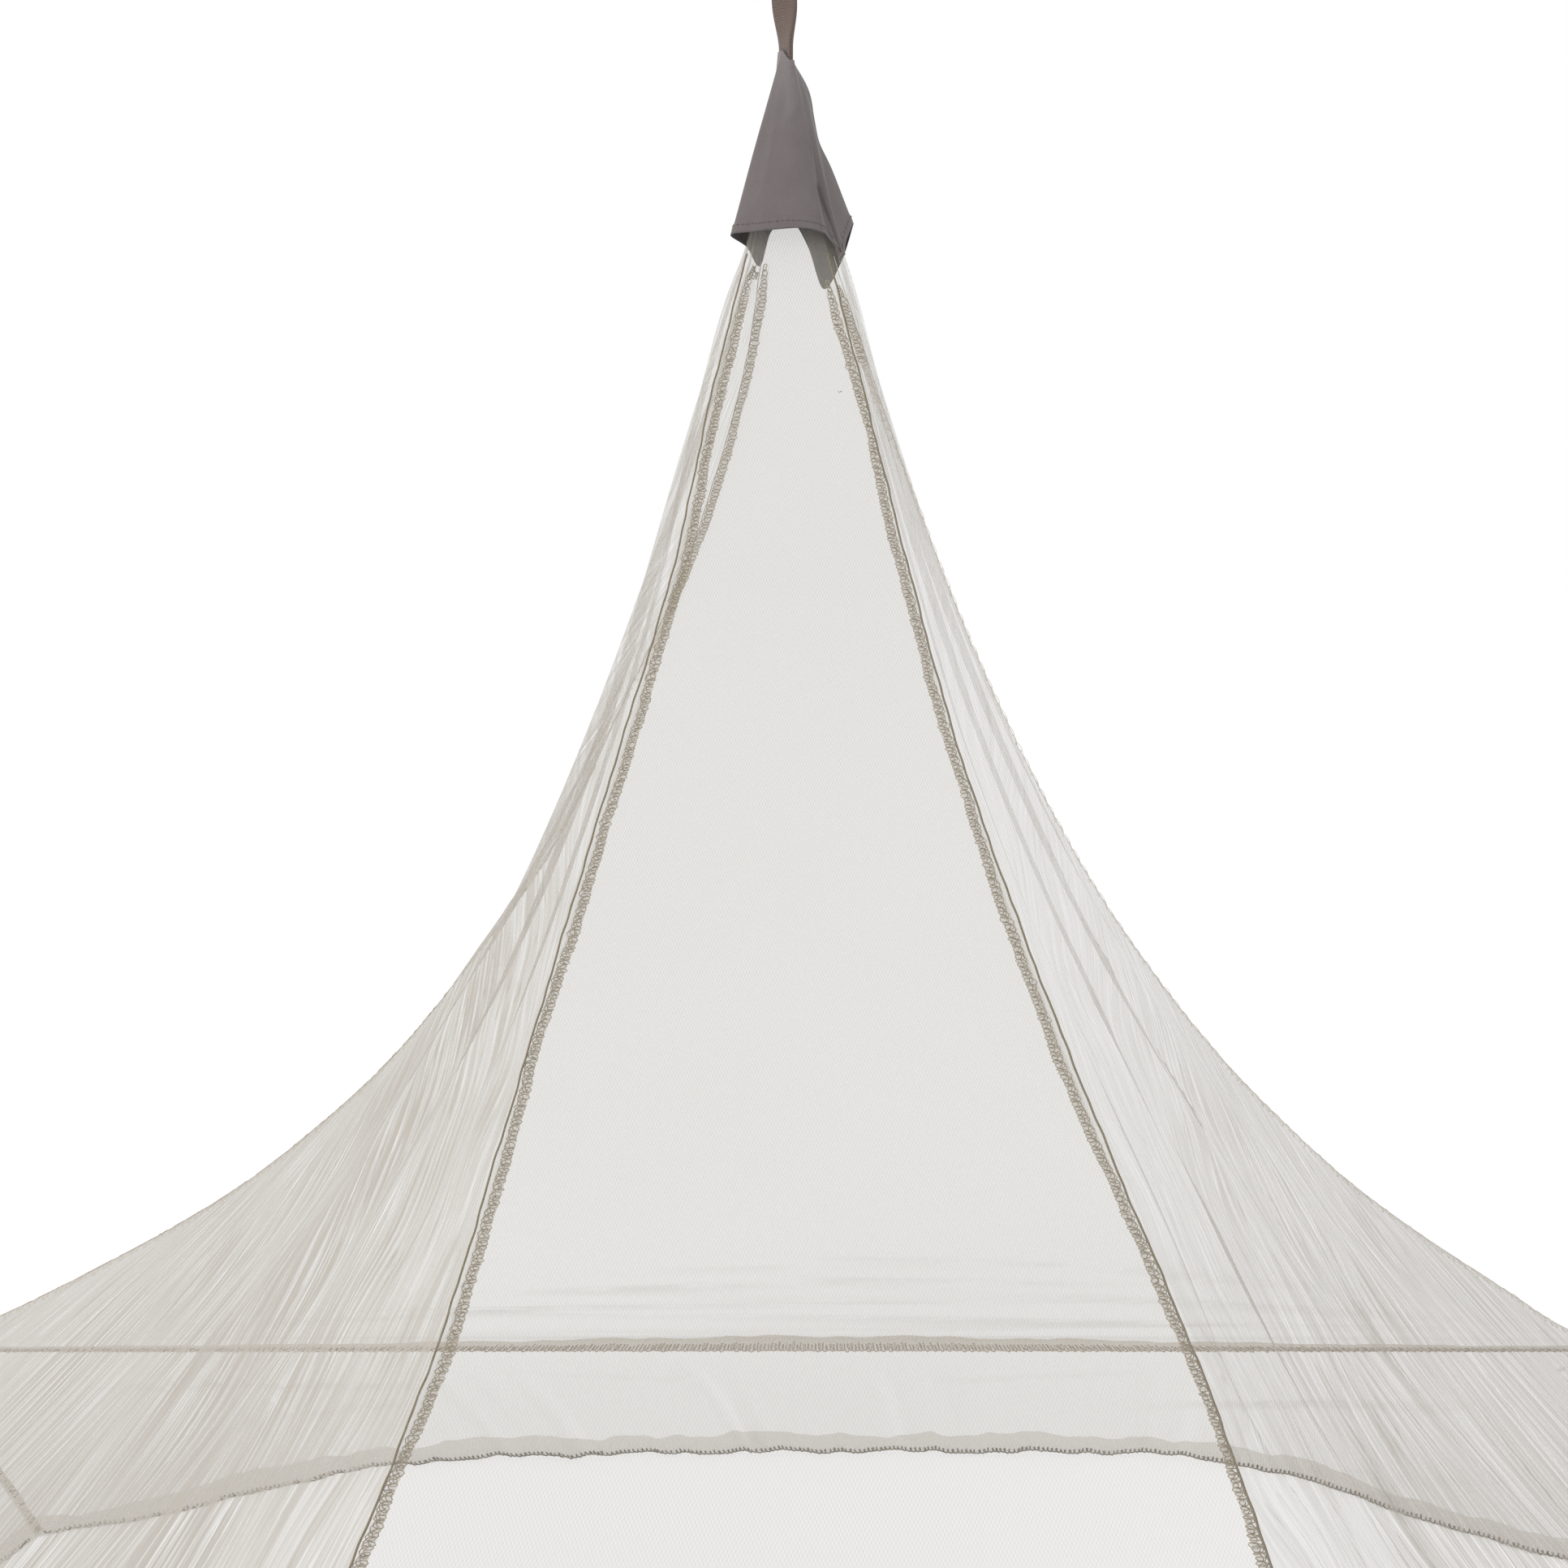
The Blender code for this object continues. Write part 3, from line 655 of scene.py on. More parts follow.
def cloth(name, surface, base, columns, rows, finish, slot, density=1.0, creases=None):
    """A sheet laid on a surface. Its gather says how much more thread there is than on the plain base."""
    mesh, across, down = grid(columns, rows)
    lay(mesh, surface(across, down))
    formed, plain = length(patch(surface, across, down)), length(patch(base, across, down))
    thick = density(across, down) if callable(density) else density
    float_layer(mesh, "gather", thick * (1 + GATHER_SHOWS * (formed / plain - 1)))
    uv_layer(mesh, "cut", *cut_lengths(base, across, down))
    if creases:
        place = creases.fan(across, down)
        crowd = creases.least + creases.more * smooth((place - creases.place) / creases.over)
        uv_layer(mesh, "fan", creases.fineness * (place + waves(place, down) * (1.25 - crowd)), down)
        float_layer(mesh, "crowd", crowd)
    return piece_of(name, mesh, finish)


GATHER_SHOWS = 1.8  # a crease's threads stand on edge, and cover more than their length alone would


def declare_cloth(base):
    """Works out the flat size that the cloth was cut from, on its plain surface, but keeps nothing of it.

    A strip is taken as long as it runs and as wide as it is. A panel that narrows to the apex is taken as the
    rectangle that it is cut from, with its longest edge along one side.
    """
    share = linspace(0, 1, 101)
    points = base(*np.meshgrid(share, share))
    a, b = points[:-1, 1:] - points[:-1, :-1], points[1:, :-1] - points[:-1, :-1]
    area = float(length(np.cross(a, b)).sum())
    wide, long = (length(np.diff(points, axis=way)).sum(axis=way).max() for way in (1, 0))
    corners = [points[0, 0], points[0, -1], points[-1, -1], points[-1, 0]]
    edges = zip(corners, corners[1:] + corners[:1])
    start, end = sorted(edges, key=lambda edge: length(edge[1] - edge[0]))[-1]
    panel = (length(end - start), length(np.cross(points - start, unit(end - start))).max())
    flat = min((wide, long), panel, key=lambda sides: max(sides[0] * sides[1], area))
    flat = tuple(max(float(side), LEAST_SIDE) for side in flat)
    area = min(area, flat[0] * flat[1])


LEAST_SIDE = 0.01  # narrowest side that a cut strip is taken to have


def thread(name, paths, radius, finish):
    """Round thread along one or more paths, as one piece."""
    line = bpy.data.curves.new(name, "CURVE")
    line.dimensions = "3D"
    line.bevel_depth = radius
    line.bevel_resolution = 0
    line.use_fill_caps = True
    for path in paths:
        spline = line.splines.new("POLY")
        spline.points.add(len(path) - 1)
        points = np.hstack([path, np.ones((len(path), 1))])
        spline.points.foreach_set("co", points.astype(np.float32).ravel())
        spline.use_smooth = True
    guide = bpy.data.objects.new(name + "_guide", line)
    COLLECTION.objects.link(guide)
    bpy.context.view_layer.update()
    mesh = bpy.data.meshes.new_from_object(guide.evaluated_get(bpy.context.evaluated_depsgraph_get()))
    mesh.name = name
    bpy.data.objects.remove(guide)
    bpy.data.curves.remove(line)
    return piece_of(name, mesh, finish)


# ---- the roof


def crease_relief(creases, fan_place, base):
    """The height of a side panel's creases at each point, in metres."""

    def relief(across, down):
        width = width_at(base, down)
        near = clip(across, STEP, 1 - STEP)
        slope = (fan_place(near + STEP, down) - fan_place(near - STEP, down)) / (2 * STEP * width)
        here = fan_place(across, down)
        slim = clip(width / 0.45, 0.18, 1.0)
        total = zeros_like(across)
        for crease in creases:
            off = (here - crease.place - crease.sway * sin(40 * down + 40 * crease.place)) / slope
            runs = smooth((down - crease.starts) / 0.1) * smooth((crease.ends - down) / 0.06)
            total += crease.height * runs * crisp(off, crease.width * slim)
        return faded_out(total * slim, across, 0.02)

    return relief


def wrinkle_relief(across, down):
    """The height of the back panel's wrinkles at each point, in metres."""
    place = BACK_BASE(across, down)
    height = place[..., 2] + HANG_HEIGHT
    total = zeros_like(across)
    for w in BACK_WRINKLES:
        line = w.height + w.rise * (place[..., 0] - w.x)
        total += w.depth * bump(place[..., 0] - w.x, w.length) * crisp(height - line, w.width)
    return faded_out(total, across, 0.02)


LEFT_BASE = side_surface(LEFT_SECTIONS, LEFT_FOLDS, 1.0)
RIGHT_BASE = side_surface(RIGHT_SECTIONS, RIGHT_FOLDS, -1.0)
FRONT_BASE = between(front_edge)
BACK_BASE = between(back_edge)

LEFT_FAN = fan(LEFT_SECTIONS, 1.0, 0.6, 0.0)
RIGHT_FAN = fan(RIGHT_SECTIONS, -1.0, 0.8, 0.035)
# How crowded a side panel's fine creases are: least beside the front ridge, where the few wide creases leave
# the net smooth, and more from a place in the fan on, over a share of it. Then how fine they are.
Creases = namedtuple("Creases", "fan least more place over fineness")
CREASED_LEFT = Creases(LEFT_FAN, 0.8, 0.2, 0.12, 0.08, 2.2)
CREASED_RIGHT = Creases(RIGHT_FAN, 0.55, 0.45, 0.2, 0.14, 1.7)


def waves(place, down):
    """How far the creases stray to either side on their way down, as a share of the fan."""
    return 0.0042 * sin(46 * down + 38 * place) + 0.0026 * sin(97 * down - 61 * place + 1.0)


# How much thread each side panel shows at shares down it, beside what its folds add.
SHARES = (0.0, 0.23, 0.38, 0.46, 0.54, 0.62, 0.69, 0.77, 0.85, 1.0)
LEFT_THREAD = (1.0, 0.88, 1.26, 1.72, 1.96, 2.04, 2.04, 2.05, 2.0, 1.8)
RIGHT_THREAD = (0.7, 0.66, 0.63, 0.8, 0.97, 1.13, 1.3, 1.46, 1.46, 1.32)


def left_density(across, down):
    place = LEFT_FAN(across, down)
    band = bump(place - 0.27, 0.05) * smooth((down - 0.34) / 0.08) * smooth((0.82 - down) / 0.1)
    smoother = 0.84 + 0.16 * smooth((place - 0.1) / 0.1)
    return interp(down, SHARES, LEFT_THREAD) * smoother + 0.34 * band


def right_density(across, down):
    smoother = 0.8 + 0.2 * smooth((RIGHT_FAN(across, down) - 0.2) / 0.1)
    return interp(down, SHARES, RIGHT_THREAD) * smoother


def front_density(across, down):
    return 1 + 0.1 * smooth(down / 0.6)


def roof(nets):
    left = raised(LEFT_BASE, crease_relief(LEFT_CREASES, LEFT_FAN, LEFT_BASE))
    right = raised(RIGHT_BASE, crease_relief(RIGHT_CREASES, RIGHT_FAN, RIGHT_BASE))
    for side, surface, base, columns, rows, finish, *look in (
        ("left", left, LEFT_BASE, 380, 170, "side", left_density, CREASED_LEFT),
        ("right", right, RIGHT_BASE, 380, 170, "side", right_density, CREASED_RIGHT),
        ("front", FRONT_BASE, FRONT_BASE, 60, 120, "face", front_density),
        ("back", raised(BACK_BASE, wrinkle_relief), BACK_BASE, 100, 220, "face"),
    ):
        panel = cloth(f"{side}_net", surface, base, columns, rows, nets[finish], "net", *look)
        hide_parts(f"{side}_panel")
        declare_cloth(base)


# ---- the skirt

# Overlock loops: from the edge to their inner and outer side, from one to the next, how far they lean, steps.
Loops = namedtuple("Loops", "inner outer pitch round steps radius")
LIFT = EAVE_HEIGHT - SKIRT_GAP
LEFT_END, RIGHT_END = (sections[-1]._replace(height=LIFT) for sections in (LEFT_SECTIONS, RIGHT_SECTIONS))
BACK_LEFT, BACK_RIGHT = back_edge(LEFT_END), back_edge(RIGHT_END)
FRONT_LEFT, FRONT_RIGHT = front_edge(LEFT_END), front_edge(RIGHT_END)
Side = namedtuple("Side", "start end hem columns rows")
SKIRT = {
    "back": Side(BACK_LEFT, BACK_RIGHT, BACK_HEM, 260, 52),
    "left": Side(BACK_LEFT, FRONT_LEFT, LEFT_HEM, 260, 14),
    "right": Side(BACK_RIGHT, FRONT_RIGHT, RIGHT_HEM, 260, 14),
    "front": Side(FRONT_LEFT, FRONT_RIGHT, FRONT_HEM, 180, 14),
}
HEM_SHARE = 0.0135 / EAVE_HEIGHT  # how much of the skirt is turned up as its hem
HEM_APART = 0.0012  # from the skirt's cloth to the middle of the turned-up part
HEM_LOOPS = Loops(0.0003, 0.0034, 0.0034, 0.0012, 5, 0.00055)
SKIRT_BASES = {
    name: skirt_surface(side.start, side.end, side.hem, seed)
    for seed, (name, side) in enumerate(SKIRT.items())
}


def skirt_relief(seed, tucks):
    draw = random.Random(40 + seed)
    puckers = [(draw.random(), draw.uniform(0.004, 0.012), draw.uniform(-0.0022, 0.0022)) for _ in range(46)]

    def relief(along, down):
        total = zeros_like(along)
        for place, width, height in puckers:
            total += height * bump(along - place - 0.01 * down, width)
        for t in tucks:
            share = (along - t.along) / (t.to_along - t.along)
            line = t.down + (t.to_down - t.down) * share
            runs = smooth(3 * share) * smooth(3 - 3 * share)
            total += t.depth * crisp((down - line) * EAVE_HEIGHT, t.width) * runs
        return faded_out(total * smooth(down / 0.3), along, 0.03)

    return relief


def skirt(nets, threads):
    for seed, (name, side) in enumerate(SKIRT.items()):
        base = SKIRT_BASES[name]
        formed = raised(base, skirt_relief(seed, BACK_TUCKS if name == "back" else []))
        fall = cloth(f"{name}_skirt_net", formed, base, side.columns, side.rows, nets["face"], "net")

        def hem_surface(along, down):
            upper = HEM_SHARE * (0.55 + 0.45 * smooth(4 * along * (1 - along)))  # drawn in at the corners
            upper = upper * (1 + 0.22 * wander(1.6 * along, seed + 3) + 0.1 * wander(5.3 * along, seed))
            share = 1 - upper * (1 - down)
            return formed(along, share) + HEM_APART * normal_of(base, along, share, INSIDE)

        hem = cloth(f"{name}_hem", hem_surface, hem_surface, side.columns, 4, nets["hem"], "net")
        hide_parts(f"{name}_skirt")
        declare_cloth(base)
        foot = eave_edge(formed)
        run = (0.006, foot.run[-1] - 0.006)
        overlock(f"{name}_hem_overlock", foot, *run, HEM_LOOPS, seed, threads["hem"], waver=0.0003)


# ---- seams


class Edge:
    """A panel's edge: points at a distance along it, at a reach into the panel and lifted off its inner side.

    Its swing turns what lies along the edge away from the panel, towards the inside.
    """

    def __init__(self, surface, line, reach, swing=None):
        stations = linspace(0, 1, 2001)
        points = surface(*line(stations, 0 * stations))
        self.run = np.concatenate([[0], np.cumsum(length(np.diff(points, axis=0)))])
        self.stations = stations
        self.surface, self.line, self.reach, self.swing = surface, line, reach, swing

    def at(self, along, reach, lift):
        share = interp(along, self.run, self.stations)
        across, down = self.line(share, self.reach(share, reach))
        place = self.surface(across, down)
        normal = normal_of(self.surface, across, down, INSIDE)
        lift = np.asarray(lift)[..., None]
        if self.swing is None:
            return place + normal * lift
        flat = place - self.surface(*self.line(share, 0 * share))
        angle = self.swing(share)[..., None]
        long = length(flat)[..., None]
        turned = flat * cos(angle) + normal * long * sin(angle)
        return place - flat + turned + (normal * cos(angle) - flat / long * sin(angle)) * lift


def ridge_edge(surface, at_end, swing=None):
    """The edge from the apex down to a corner, on the side of the panel that at_end says."""

    def line(share, inset):
        return (1 - inset if at_end else inset + 0 * share), share

    def reach(share, distance):
        return distance / width_at(surface, share)

    return Edge(surface, line, reach, swing)


def eave_edge(surface):
    """The edge along the foot of a roof panel."""

    def line(share, inset):
        return share, 1 - inset

    def reach(share, distance):
        ones = ones_like(share)
        return distance / length(surface(share, ones) - surface(share, ones - STEP)) * STEP

    return Edge(surface, line, reach)


Stray = namedtuple("Stray", "along reach")
STRAIGHT = [Stray(0.0, 0.0)]
WAVER = 0.0009
ALLOWANCE_LIFT = 0.0016  # from the panel's inner side to the middle of the cloth turned in on it


def strayed(stray, along):
    """How far a seam's raw edge has strayed from its usual reach, from a table of distances along it."""
    return interp(along, [row.along for row in stray], [row.reach for row in stray])


def overlock(name, edge, first, last, loops, seed, finish, lift=ALLOWANCE_LIFT, waver=WAVER, stray=STRAIGHT):
    """The looper thread: round loops from the seam line over the raw edge, each laid partly on the last."""
    count = int((last - first) / loops.pitch)
    turn = linspace(0, 2 * pi * count, count * loops.steps + 1)
    draw = np.random.default_rng(seed)
    knots = linspace(0, turn[-1], 2 * count + 1)
    long, wide, shift = (interp(turn, knots, draw.normal(0, 1, len(knots))) for _ in range(3))
    share = turn / turn[-1]
    along = first + (last - first) * share + loops.round * (1 + 0.3 * long) * cos(turn)
    middle, half = (loops.inner + loops.outer) / 2, (loops.outer - loops.inner) / 2
    half = half * (0.4 + 0.6 * smooth((along - first) / 0.02))
    reach = middle + half * ((1 + 0.15 * wide) * sin(turn) + 0.15 * shift)
    reach = reach + strayed(stray, along) + waver * wander(along * 2.2, seed)
    height = lift + 0.0007 * cos(0.5 * turn + seed)  # every other loop lies on the allowance's far side
    path = edge.at(along, np.maximum(reach, 0.0003), height)
    thread(name, [path], loops.radius, finish)


def allowance(name, edge, first, last, width, seed, net, beside, replaced, density=1.0, stray=STRAIGHT):
    """The two layers of cloth turned in beside a seam."""

    def strip(across, down):
        along = first + (last - first) * down
        reach = 0.0004 + across * (width + strayed(stray, along) + WAVER * wander(along * 2.2, seed))
        return edge.at(along, reach, np.full_like(reach, ALLOWANCE_LIFT))

    rows = max(int((last - first) / 0.008), 8)
    piece = cloth(name, strip, strip, 6, rows, net, "overlocked_seam", density)
    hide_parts(replaced)
    declare_cloth(strip)


def seam_line(name, edge, first, last, finish, radius, seed):
    """The line of lockstitch that draws two panels together, seen as a thin dark cord."""
    along = np.arange(first, last, 0.003)
    reach = 0.0003 + 0.0005 * wander(along * 4, seed)
    thread(name, [edge.at(along, reach, np.full_like(along, 0.0004))], radius, finish)


def tangle(name, edge, along, reach, size, turns, finish):
    """Thread tail left loose where a seam starts or a loop was missed."""
    t = linspace(0, turns, int(40 * turns) + 20)
    path = edge.at(
        along + size * (sin(6.1 * t) + 0.6 * sin(13.7 * t + 1.0)),
        reach + 0.6 * size * (cos(5.3 * t) + 0.6 * sin(10.9 * t + 2.0)),
        0.0024 + 0.0008 * sin(4.0 * t),
    )
    thread(name, [path], 0.0002, finish)


def turned_in(sections, below):
    """The back allowances lie against the side panels from a little below the given height."""

    def swing(share):
        row = row_at(sections, share)
        beside = arctan2(row.back_y - row.front_y, np.abs(row.back_x) - np.abs(row.front_x))
        return (beside - radians(3)) * smooth((below - row.height) / 0.1)

    return swing


# Where the raw edges of the two front ridges run nearer to the seam than usual, and where farther from it.
LEFT_STRAY = table(
    Stray,
    (0.1, 0.0004),
    (0.3, 0.001),
    (0.5, 0.0009),
    (0.6, -0.0012),
    (0.69, 0.0008),
    (0.78, 0.001),
    (0.84, -0.0012),
)
RIGHT_STRAY = table(
    Stray,
    (0.12, 0.0),
    (0.21, -0.0024),
    (0.28, -0.0004),
    (0.43, -0.0008),
    (0.51, 0.0008),
    (0.6, 0.002),
    (0.69, -0.0006),
    (0.78, -0.0028),
)
Ridge = namedtuple("Ridge", "panel side surface first loops line cord stray swing")
FRONT_LOOPS = Loops(0.0023, 0.0078, 0.0023, 0.0018, 8, 0.00027)
BACK_LOOPS = Loops(0.0006, 0.006, 0.0024, 0.0018, 8, 0.00026)
PALE_LOOPS = Loops(0.0015, 0.007, 0.006, 0.0024, 8, 0.00018)
NEEDLE_LOOPS = Loops(0.004, 0.0066, 0.0046, 0.0009, 4, 0.00026)
EAVE_LOOPS = Loops(0.0006, 0.0056, 0.0028, 0.0012, 6, 0.00034)
CORNER_LOOPS = Loops(0.003, 0.0095, 0.003, 0.0019, 8, 0.00026)
LEFT_SWING, RIGHT_SWING = turned_in(LEFT_SECTIONS, 0.68), turned_in(RIGHT_SECTIONS, 0.84)
RIDGES = table(
    Ridge,
    ("front", "left", FRONT_BASE, 0.1, FRONT_LOOPS, 0.00064, "line", LEFT_STRAY, None),
    ("front", "right", FRONT_BASE, 0.108, FRONT_LOOPS, 0.00064, "line", RIGHT_STRAY, None),
    ("back", "left", BACK_BASE, 0.092, BACK_LOOPS, 0.0003, "eave", STRAIGHT, LEFT_SWING),
    ("back", "right", BACK_BASE, 0.108, BACK_LOOPS, 0.00026, "pale", STRAIGHT, RIGHT_SWING),
)
EAVES = {"back": BACK_BASE, "front": FRONT_BASE, "left": LEFT_BASE, "right": RIGHT_BASE}


def banded(across, down):
    """Beside a ridge the allowance is thin cloth next to the seam and bound all round along its raw edge."""
    bound = 0.75 * smooth((across - 0.2) / 0.15)
    return (0.35 + bound) * smooth((down + 0.004) / 0.02)


def spread_thin(share):
    """Lower down than this share the back allowances are spread over the side panels and hardly show."""

    def density(across, down):
        return banded(across, down) * (1 - 0.85 * smooth((down - share) / 0.06))

    return density


def seams(nets, threads):
    net = nets["allowance"]
    for seed, ridge in enumerate(RIDGES):
        edge = ridge_edge(ridge.surface, ridge.side == "right", ridge.swing)
        last = turn = edge.run[-1] - 0.012
        density = banded
        if ridge.swing:  # from this turn down, the allowance lies against the side panel
            turn = float(interp(0.1, ridge.swing(edge.stations), edge.run))
            density = spread_thin((turn - ridge.first) / (last - ridge.first))
        label = f"{ridge.panel}_{{}}_{ridge.side}".format
        width, held = ridge.loops.outer - 0.0004, (f"{ridge.panel}_net", label("seam"))
        strip = (ridge.first, last, width, seed, net, *held, density, ridge.stray)
        allowance(label("allowance"), edge, *strip)
        loops = [("overlock", ridge.first, turn, ridge.loops, "looper", ALLOWANCE_LIFT)]
        if ridge.swing:
            loops.append(("low_overlock", turn, last, PALE_LOOPS, "pale", ALLOWANCE_LIFT))
        else:
            loops.append(("needle", ridge.first, last, NEEDLE_LOOPS, "line", 0.0018))
        for kind, start, end, form, finish, lift in loops:
            overlock(label(kind), edge, start, end, form, seed, threads[finish], lift, stray=ridge.stray)
        seam_line(label("ridge"), edge, 0.09, last, threads[ridge.cord], ridge.line, seed)
    left, right = ridge_edge(FRONT_BASE, False), ridge_edge(FRONT_BASE, True)
    tangle("loose_tail_left", left, 0.101, 0.0075, 0.003, 4.0, threads["line"])
    tangle("loose_loop_right", right, 0.178, 0.014, 0.0016, 0.5, threads["line"])
    for seed, (panel, surface) in enumerate(EAVES.items()):
        edge = eave_edge(surface)
        name, run = f"{panel}_eave", (0.012, edge.run[-1] - 0.012)
        allowance(f"{name}_allowance", edge, *run, 0.0085, seed, net, f"{panel}_net", f"{name}_seam", 1.3)
        overlock(f"{name}_overlock", edge, *run, EAVE_LOOPS, seed, threads["eave"], waver=0.0002)
    for seed, panel in enumerate(("back", "front")):
        for side in ("left", "right"):
            edge = ridge_edge(SKIRT_BASES[panel], side == "right")
            run = (0.002, edge.run[-1] - 0.003)
            label = f"{panel}_corner_{{}}{side}".format
            allowance(label("allowance_"), edge, *run, 0.0095, seed, net, f"{panel}_skirt_net", label(""))
            overlock(label("overlock_"), edge, *run, CORNER_LOOPS, seed, threads["looper"])


# ---- cap and loop


def mouth_at(azimuth):
    turned = azimuth - TAPE_TWIST
    wide, deep = np.abs(cos(turned)) / MOUTH_WIDE, np.abs(sin(turned)) / MOUTH_DEEP
    radius = (wide**3 + deep**3) ** (-1 / 3)
    return TAPE_SHIFT + radius * cos(azimuth), radius * sin(azimuth)


Dent = namedtuple("Dent", "place width down length depth")
CAP_DENTS = table(
    Dent,
    (12.0, 2.2, 0.17, 0.16, 0.0042),
    (12.0, 1.4, 0.5, 0.1, -0.0016),
    (9.0, 0.8, 0.85, 0.3, -0.0022),
    (6.0, 2.0, 0.55, 0.3, 0.0012),
)


def cap_surface(around, down):
    turn = np.mod(around, 1.0)
    rim = row_at(CAP_RIM, turn, closed=True)
    azimuth = arctan2(rim.y, rim.x - TAPE_SHIFT)
    mouth_x, mouth_y = mouth_at(azimuth)
    slant = smooth((mouth_x - TAPE_SHIFT) / (2 * MOUTH_DEEP) + 0.5)
    mouth_height = CAP_MOUTH_LEFT + (CAP_MOUTH_RIGHT - CAP_MOUTH_LEFT) * slant
    x = mouth_x + (rim.x - mouth_x) * down
    y = mouth_y + (rim.y - mouth_y) * down
    index = turn * len(CAP_RIM)
    push = sum(d.depth * bump(index - d.place, d.width) * bump(down - d.down, d.length) for d in CAP_DENTS)
    x, y = x + push * cos(azimuth), y + push * sin(azimuth)
    return at(x, y, mouth_height + (rim.height - mouth_height) * down)


# Creases pressed into the cap: from one place round its rim and share down to another, half width, depth.
Press = namedtuple("Press", "place down to_place to_down width depth")
CAP_PRESSES = table(
    Press,
    (8.35, 0.5, 8.15, 0.99, 0.001, -0.0006),
    (8.9, 0.7, 9.65, 1.0, 0.0016, -0.0013),
    (6.9, 0.1, 6.3, 0.36, 0.0012, -0.0004),
    (8.3, 0.18, 6.6, 0.36, 0.0014, 0.0005),
    (7.2, 0.05, 7.0, 0.12, 0.0007, -0.0006),
    (5.4, 0.45, 4.9, 0.85, 0.003, 0.0005),
    (12.4, 0.3, 12.2, 0.9, 0.0016, -0.0009),
)
CAP_HEM = 0.955  # share down at which the hem is stitched
ON_AXIS = np.array([0.002, 0.0, 0.93 - HANG_HEIGHT])  # a point that the cap's inner side faces


def cap_outward(around, down):
    return -normal_of(cap_surface, around, down, ON_AXIS)


def cap_relief(around, down):
    """Creases, the step where the hem is turned up and the small puckers along its stitches, in metres."""
    total = 0.0004 * smooth((down - CAP_HEM + 0.01) / 0.008)
    pucker = sin(2 * pi * (53 * around + 0.6 * wander(3 * around, 2)))
    total = total + 0.00022 * pucker * bump(down - CAP_HEM, 0.022)
    index = around * len(CAP_RIM)
    face = smooth((index - 8.2) / 0.9) * smooth((11.2 - index) / 0.9)
    total = total - 0.0045 * face * smooth((down - 0.35) / 0.5)  # its right face falls back behind the fold
    for p in CAP_PRESSES:
        wide, long = (index - p.place) * 0.0125 * down, (down - p.down) * 0.11
        to_wide, to_long = (p.to_place - p.place) * 0.0125 * down, (p.to_down - p.down) * 0.11
        share = clip((wide * to_wide + long * to_long) / (to_wide**2 + to_long**2), 0, 1)
        off = np.hypot(wide - share * to_wide, long - share * to_long)
        total = total + p.depth * bump(off, p.width)
    return total * smooth(down / 0.04)


def cap(finishes, threads):
    mesh, around, down = grid(220, 80)
    turned = clip(around, 2 * STEP, 1 - 2 * STEP)
    lay(mesh, cap_surface(around, down) + cap_outward(turned, down) * cap_relief(around, down)[..., None])
    uv_layer(mesh, "cut", (around - 0.5) * 0.2, down * 0.12)
    shape = bmesh.new()
    shape.from_mesh(mesh)
    bmesh.ops.remove_doubles(shape, verts=shape.verts, dist=1e-6)
    bmesh.ops.recalc_face_normals(shape, faces=shape.faces)
    shape.to_mesh(mesh)
    shape.free()
    piece = piece_of("cap_cloth", mesh, finishes["cap_painted_shade"])
    mesh.materials.append(finishes["cap"])
    thicken(piece, "cloth", 0.0006).material_offset = 1  # only the inner side takes the darker material: painted shade inside the cap
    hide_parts("cap")

    stitches = []
    for index in range(CAP_STITCHES):
        place = 0.006 + (index + linspace(0.12, 0.78, 4)) / CAP_STITCHES * 0.988
        level = CAP_HEM + 0.002 * wander(2 * place, 5)
        dip = np.array([0.0002, 0.0007, 0.0007, 0.0002])
        raise_by = (cap_relief(place, level) + dip)[..., None]
        stitches.append(cap_surface(place, level) + cap_outward(place, level) * raise_by)
    thread("cap_hem_stitches", stitches, 0.00016, threads["cap"])


CAP_STITCHES = 84

LEG_ROWS, ARC_ROWS = 120, 24
TAPE_LENGTH = 0.252


def tape_surface(across, along):
    """Webbing up from the cap, round the hook and down again, its two sewn ends twisted edge-on."""
    row = along * (2 * LEG_ROWS + ARC_ROWS)
    arc_height = HANG_HEIGHT + TAPE_CLOTH / 2 - EYE_RADIUS
    bottom = NET_TOP + 0.0009
    back_row = row - LEG_ROWS - ARC_ROWS
    turn = pi * clip((row - LEG_ROWS) / ARC_ROWS, 0, 1)
    on_arc = (row >= LEG_ROWS) & (back_row <= 0)
    rise = np.where(back_row < 0, row / LEG_ROWS, 1 - back_row / LEG_ROWS)
    height = np.where(on_arc, arc_height + EYE_RADIUS * sin(turn), bottom + (arc_height - bottom) * rise)
    apart = TAPE_LAYER + (EYE_RADIUS - TAPE_LAYER) * smooth((height - EYE_FROM) / (arc_height - EYE_FROM))
    layer = np.where(on_arc, -EYE_RADIUS * cos(turn), np.where(back_row < 0, -apart, apart))
    sewn = 1 - smooth((height - TWIST_FROM) / (TWIST_TO - TWIST_FROM))
    twist = TAPE_TWIST * sewn
    side = (across - 0.5) * TAPE_WIDTH
    x = TAPE_SHIFT * sewn + side * cos(twist) - layer * sin(twist)
    y = side * sin(twist) + layer * cos(twist)
    return at(x, y, height)


def hang_loop(finishes):
    mesh, across, along = grid(8, 2 * LEG_ROWS + ARC_ROWS)
    lay(mesh, tape_surface(across, along))
    uv_layer(mesh, "cut", (across - 0.5) * TAPE_WIDTH, along * TAPE_LENGTH)
    piece = piece_of("webbing_loop", mesh, finishes["webbing"])
    thicken(piece, "webbing", TAPE_CLOTH)
    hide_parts("hang_loop")


# ---- stage, light and camera


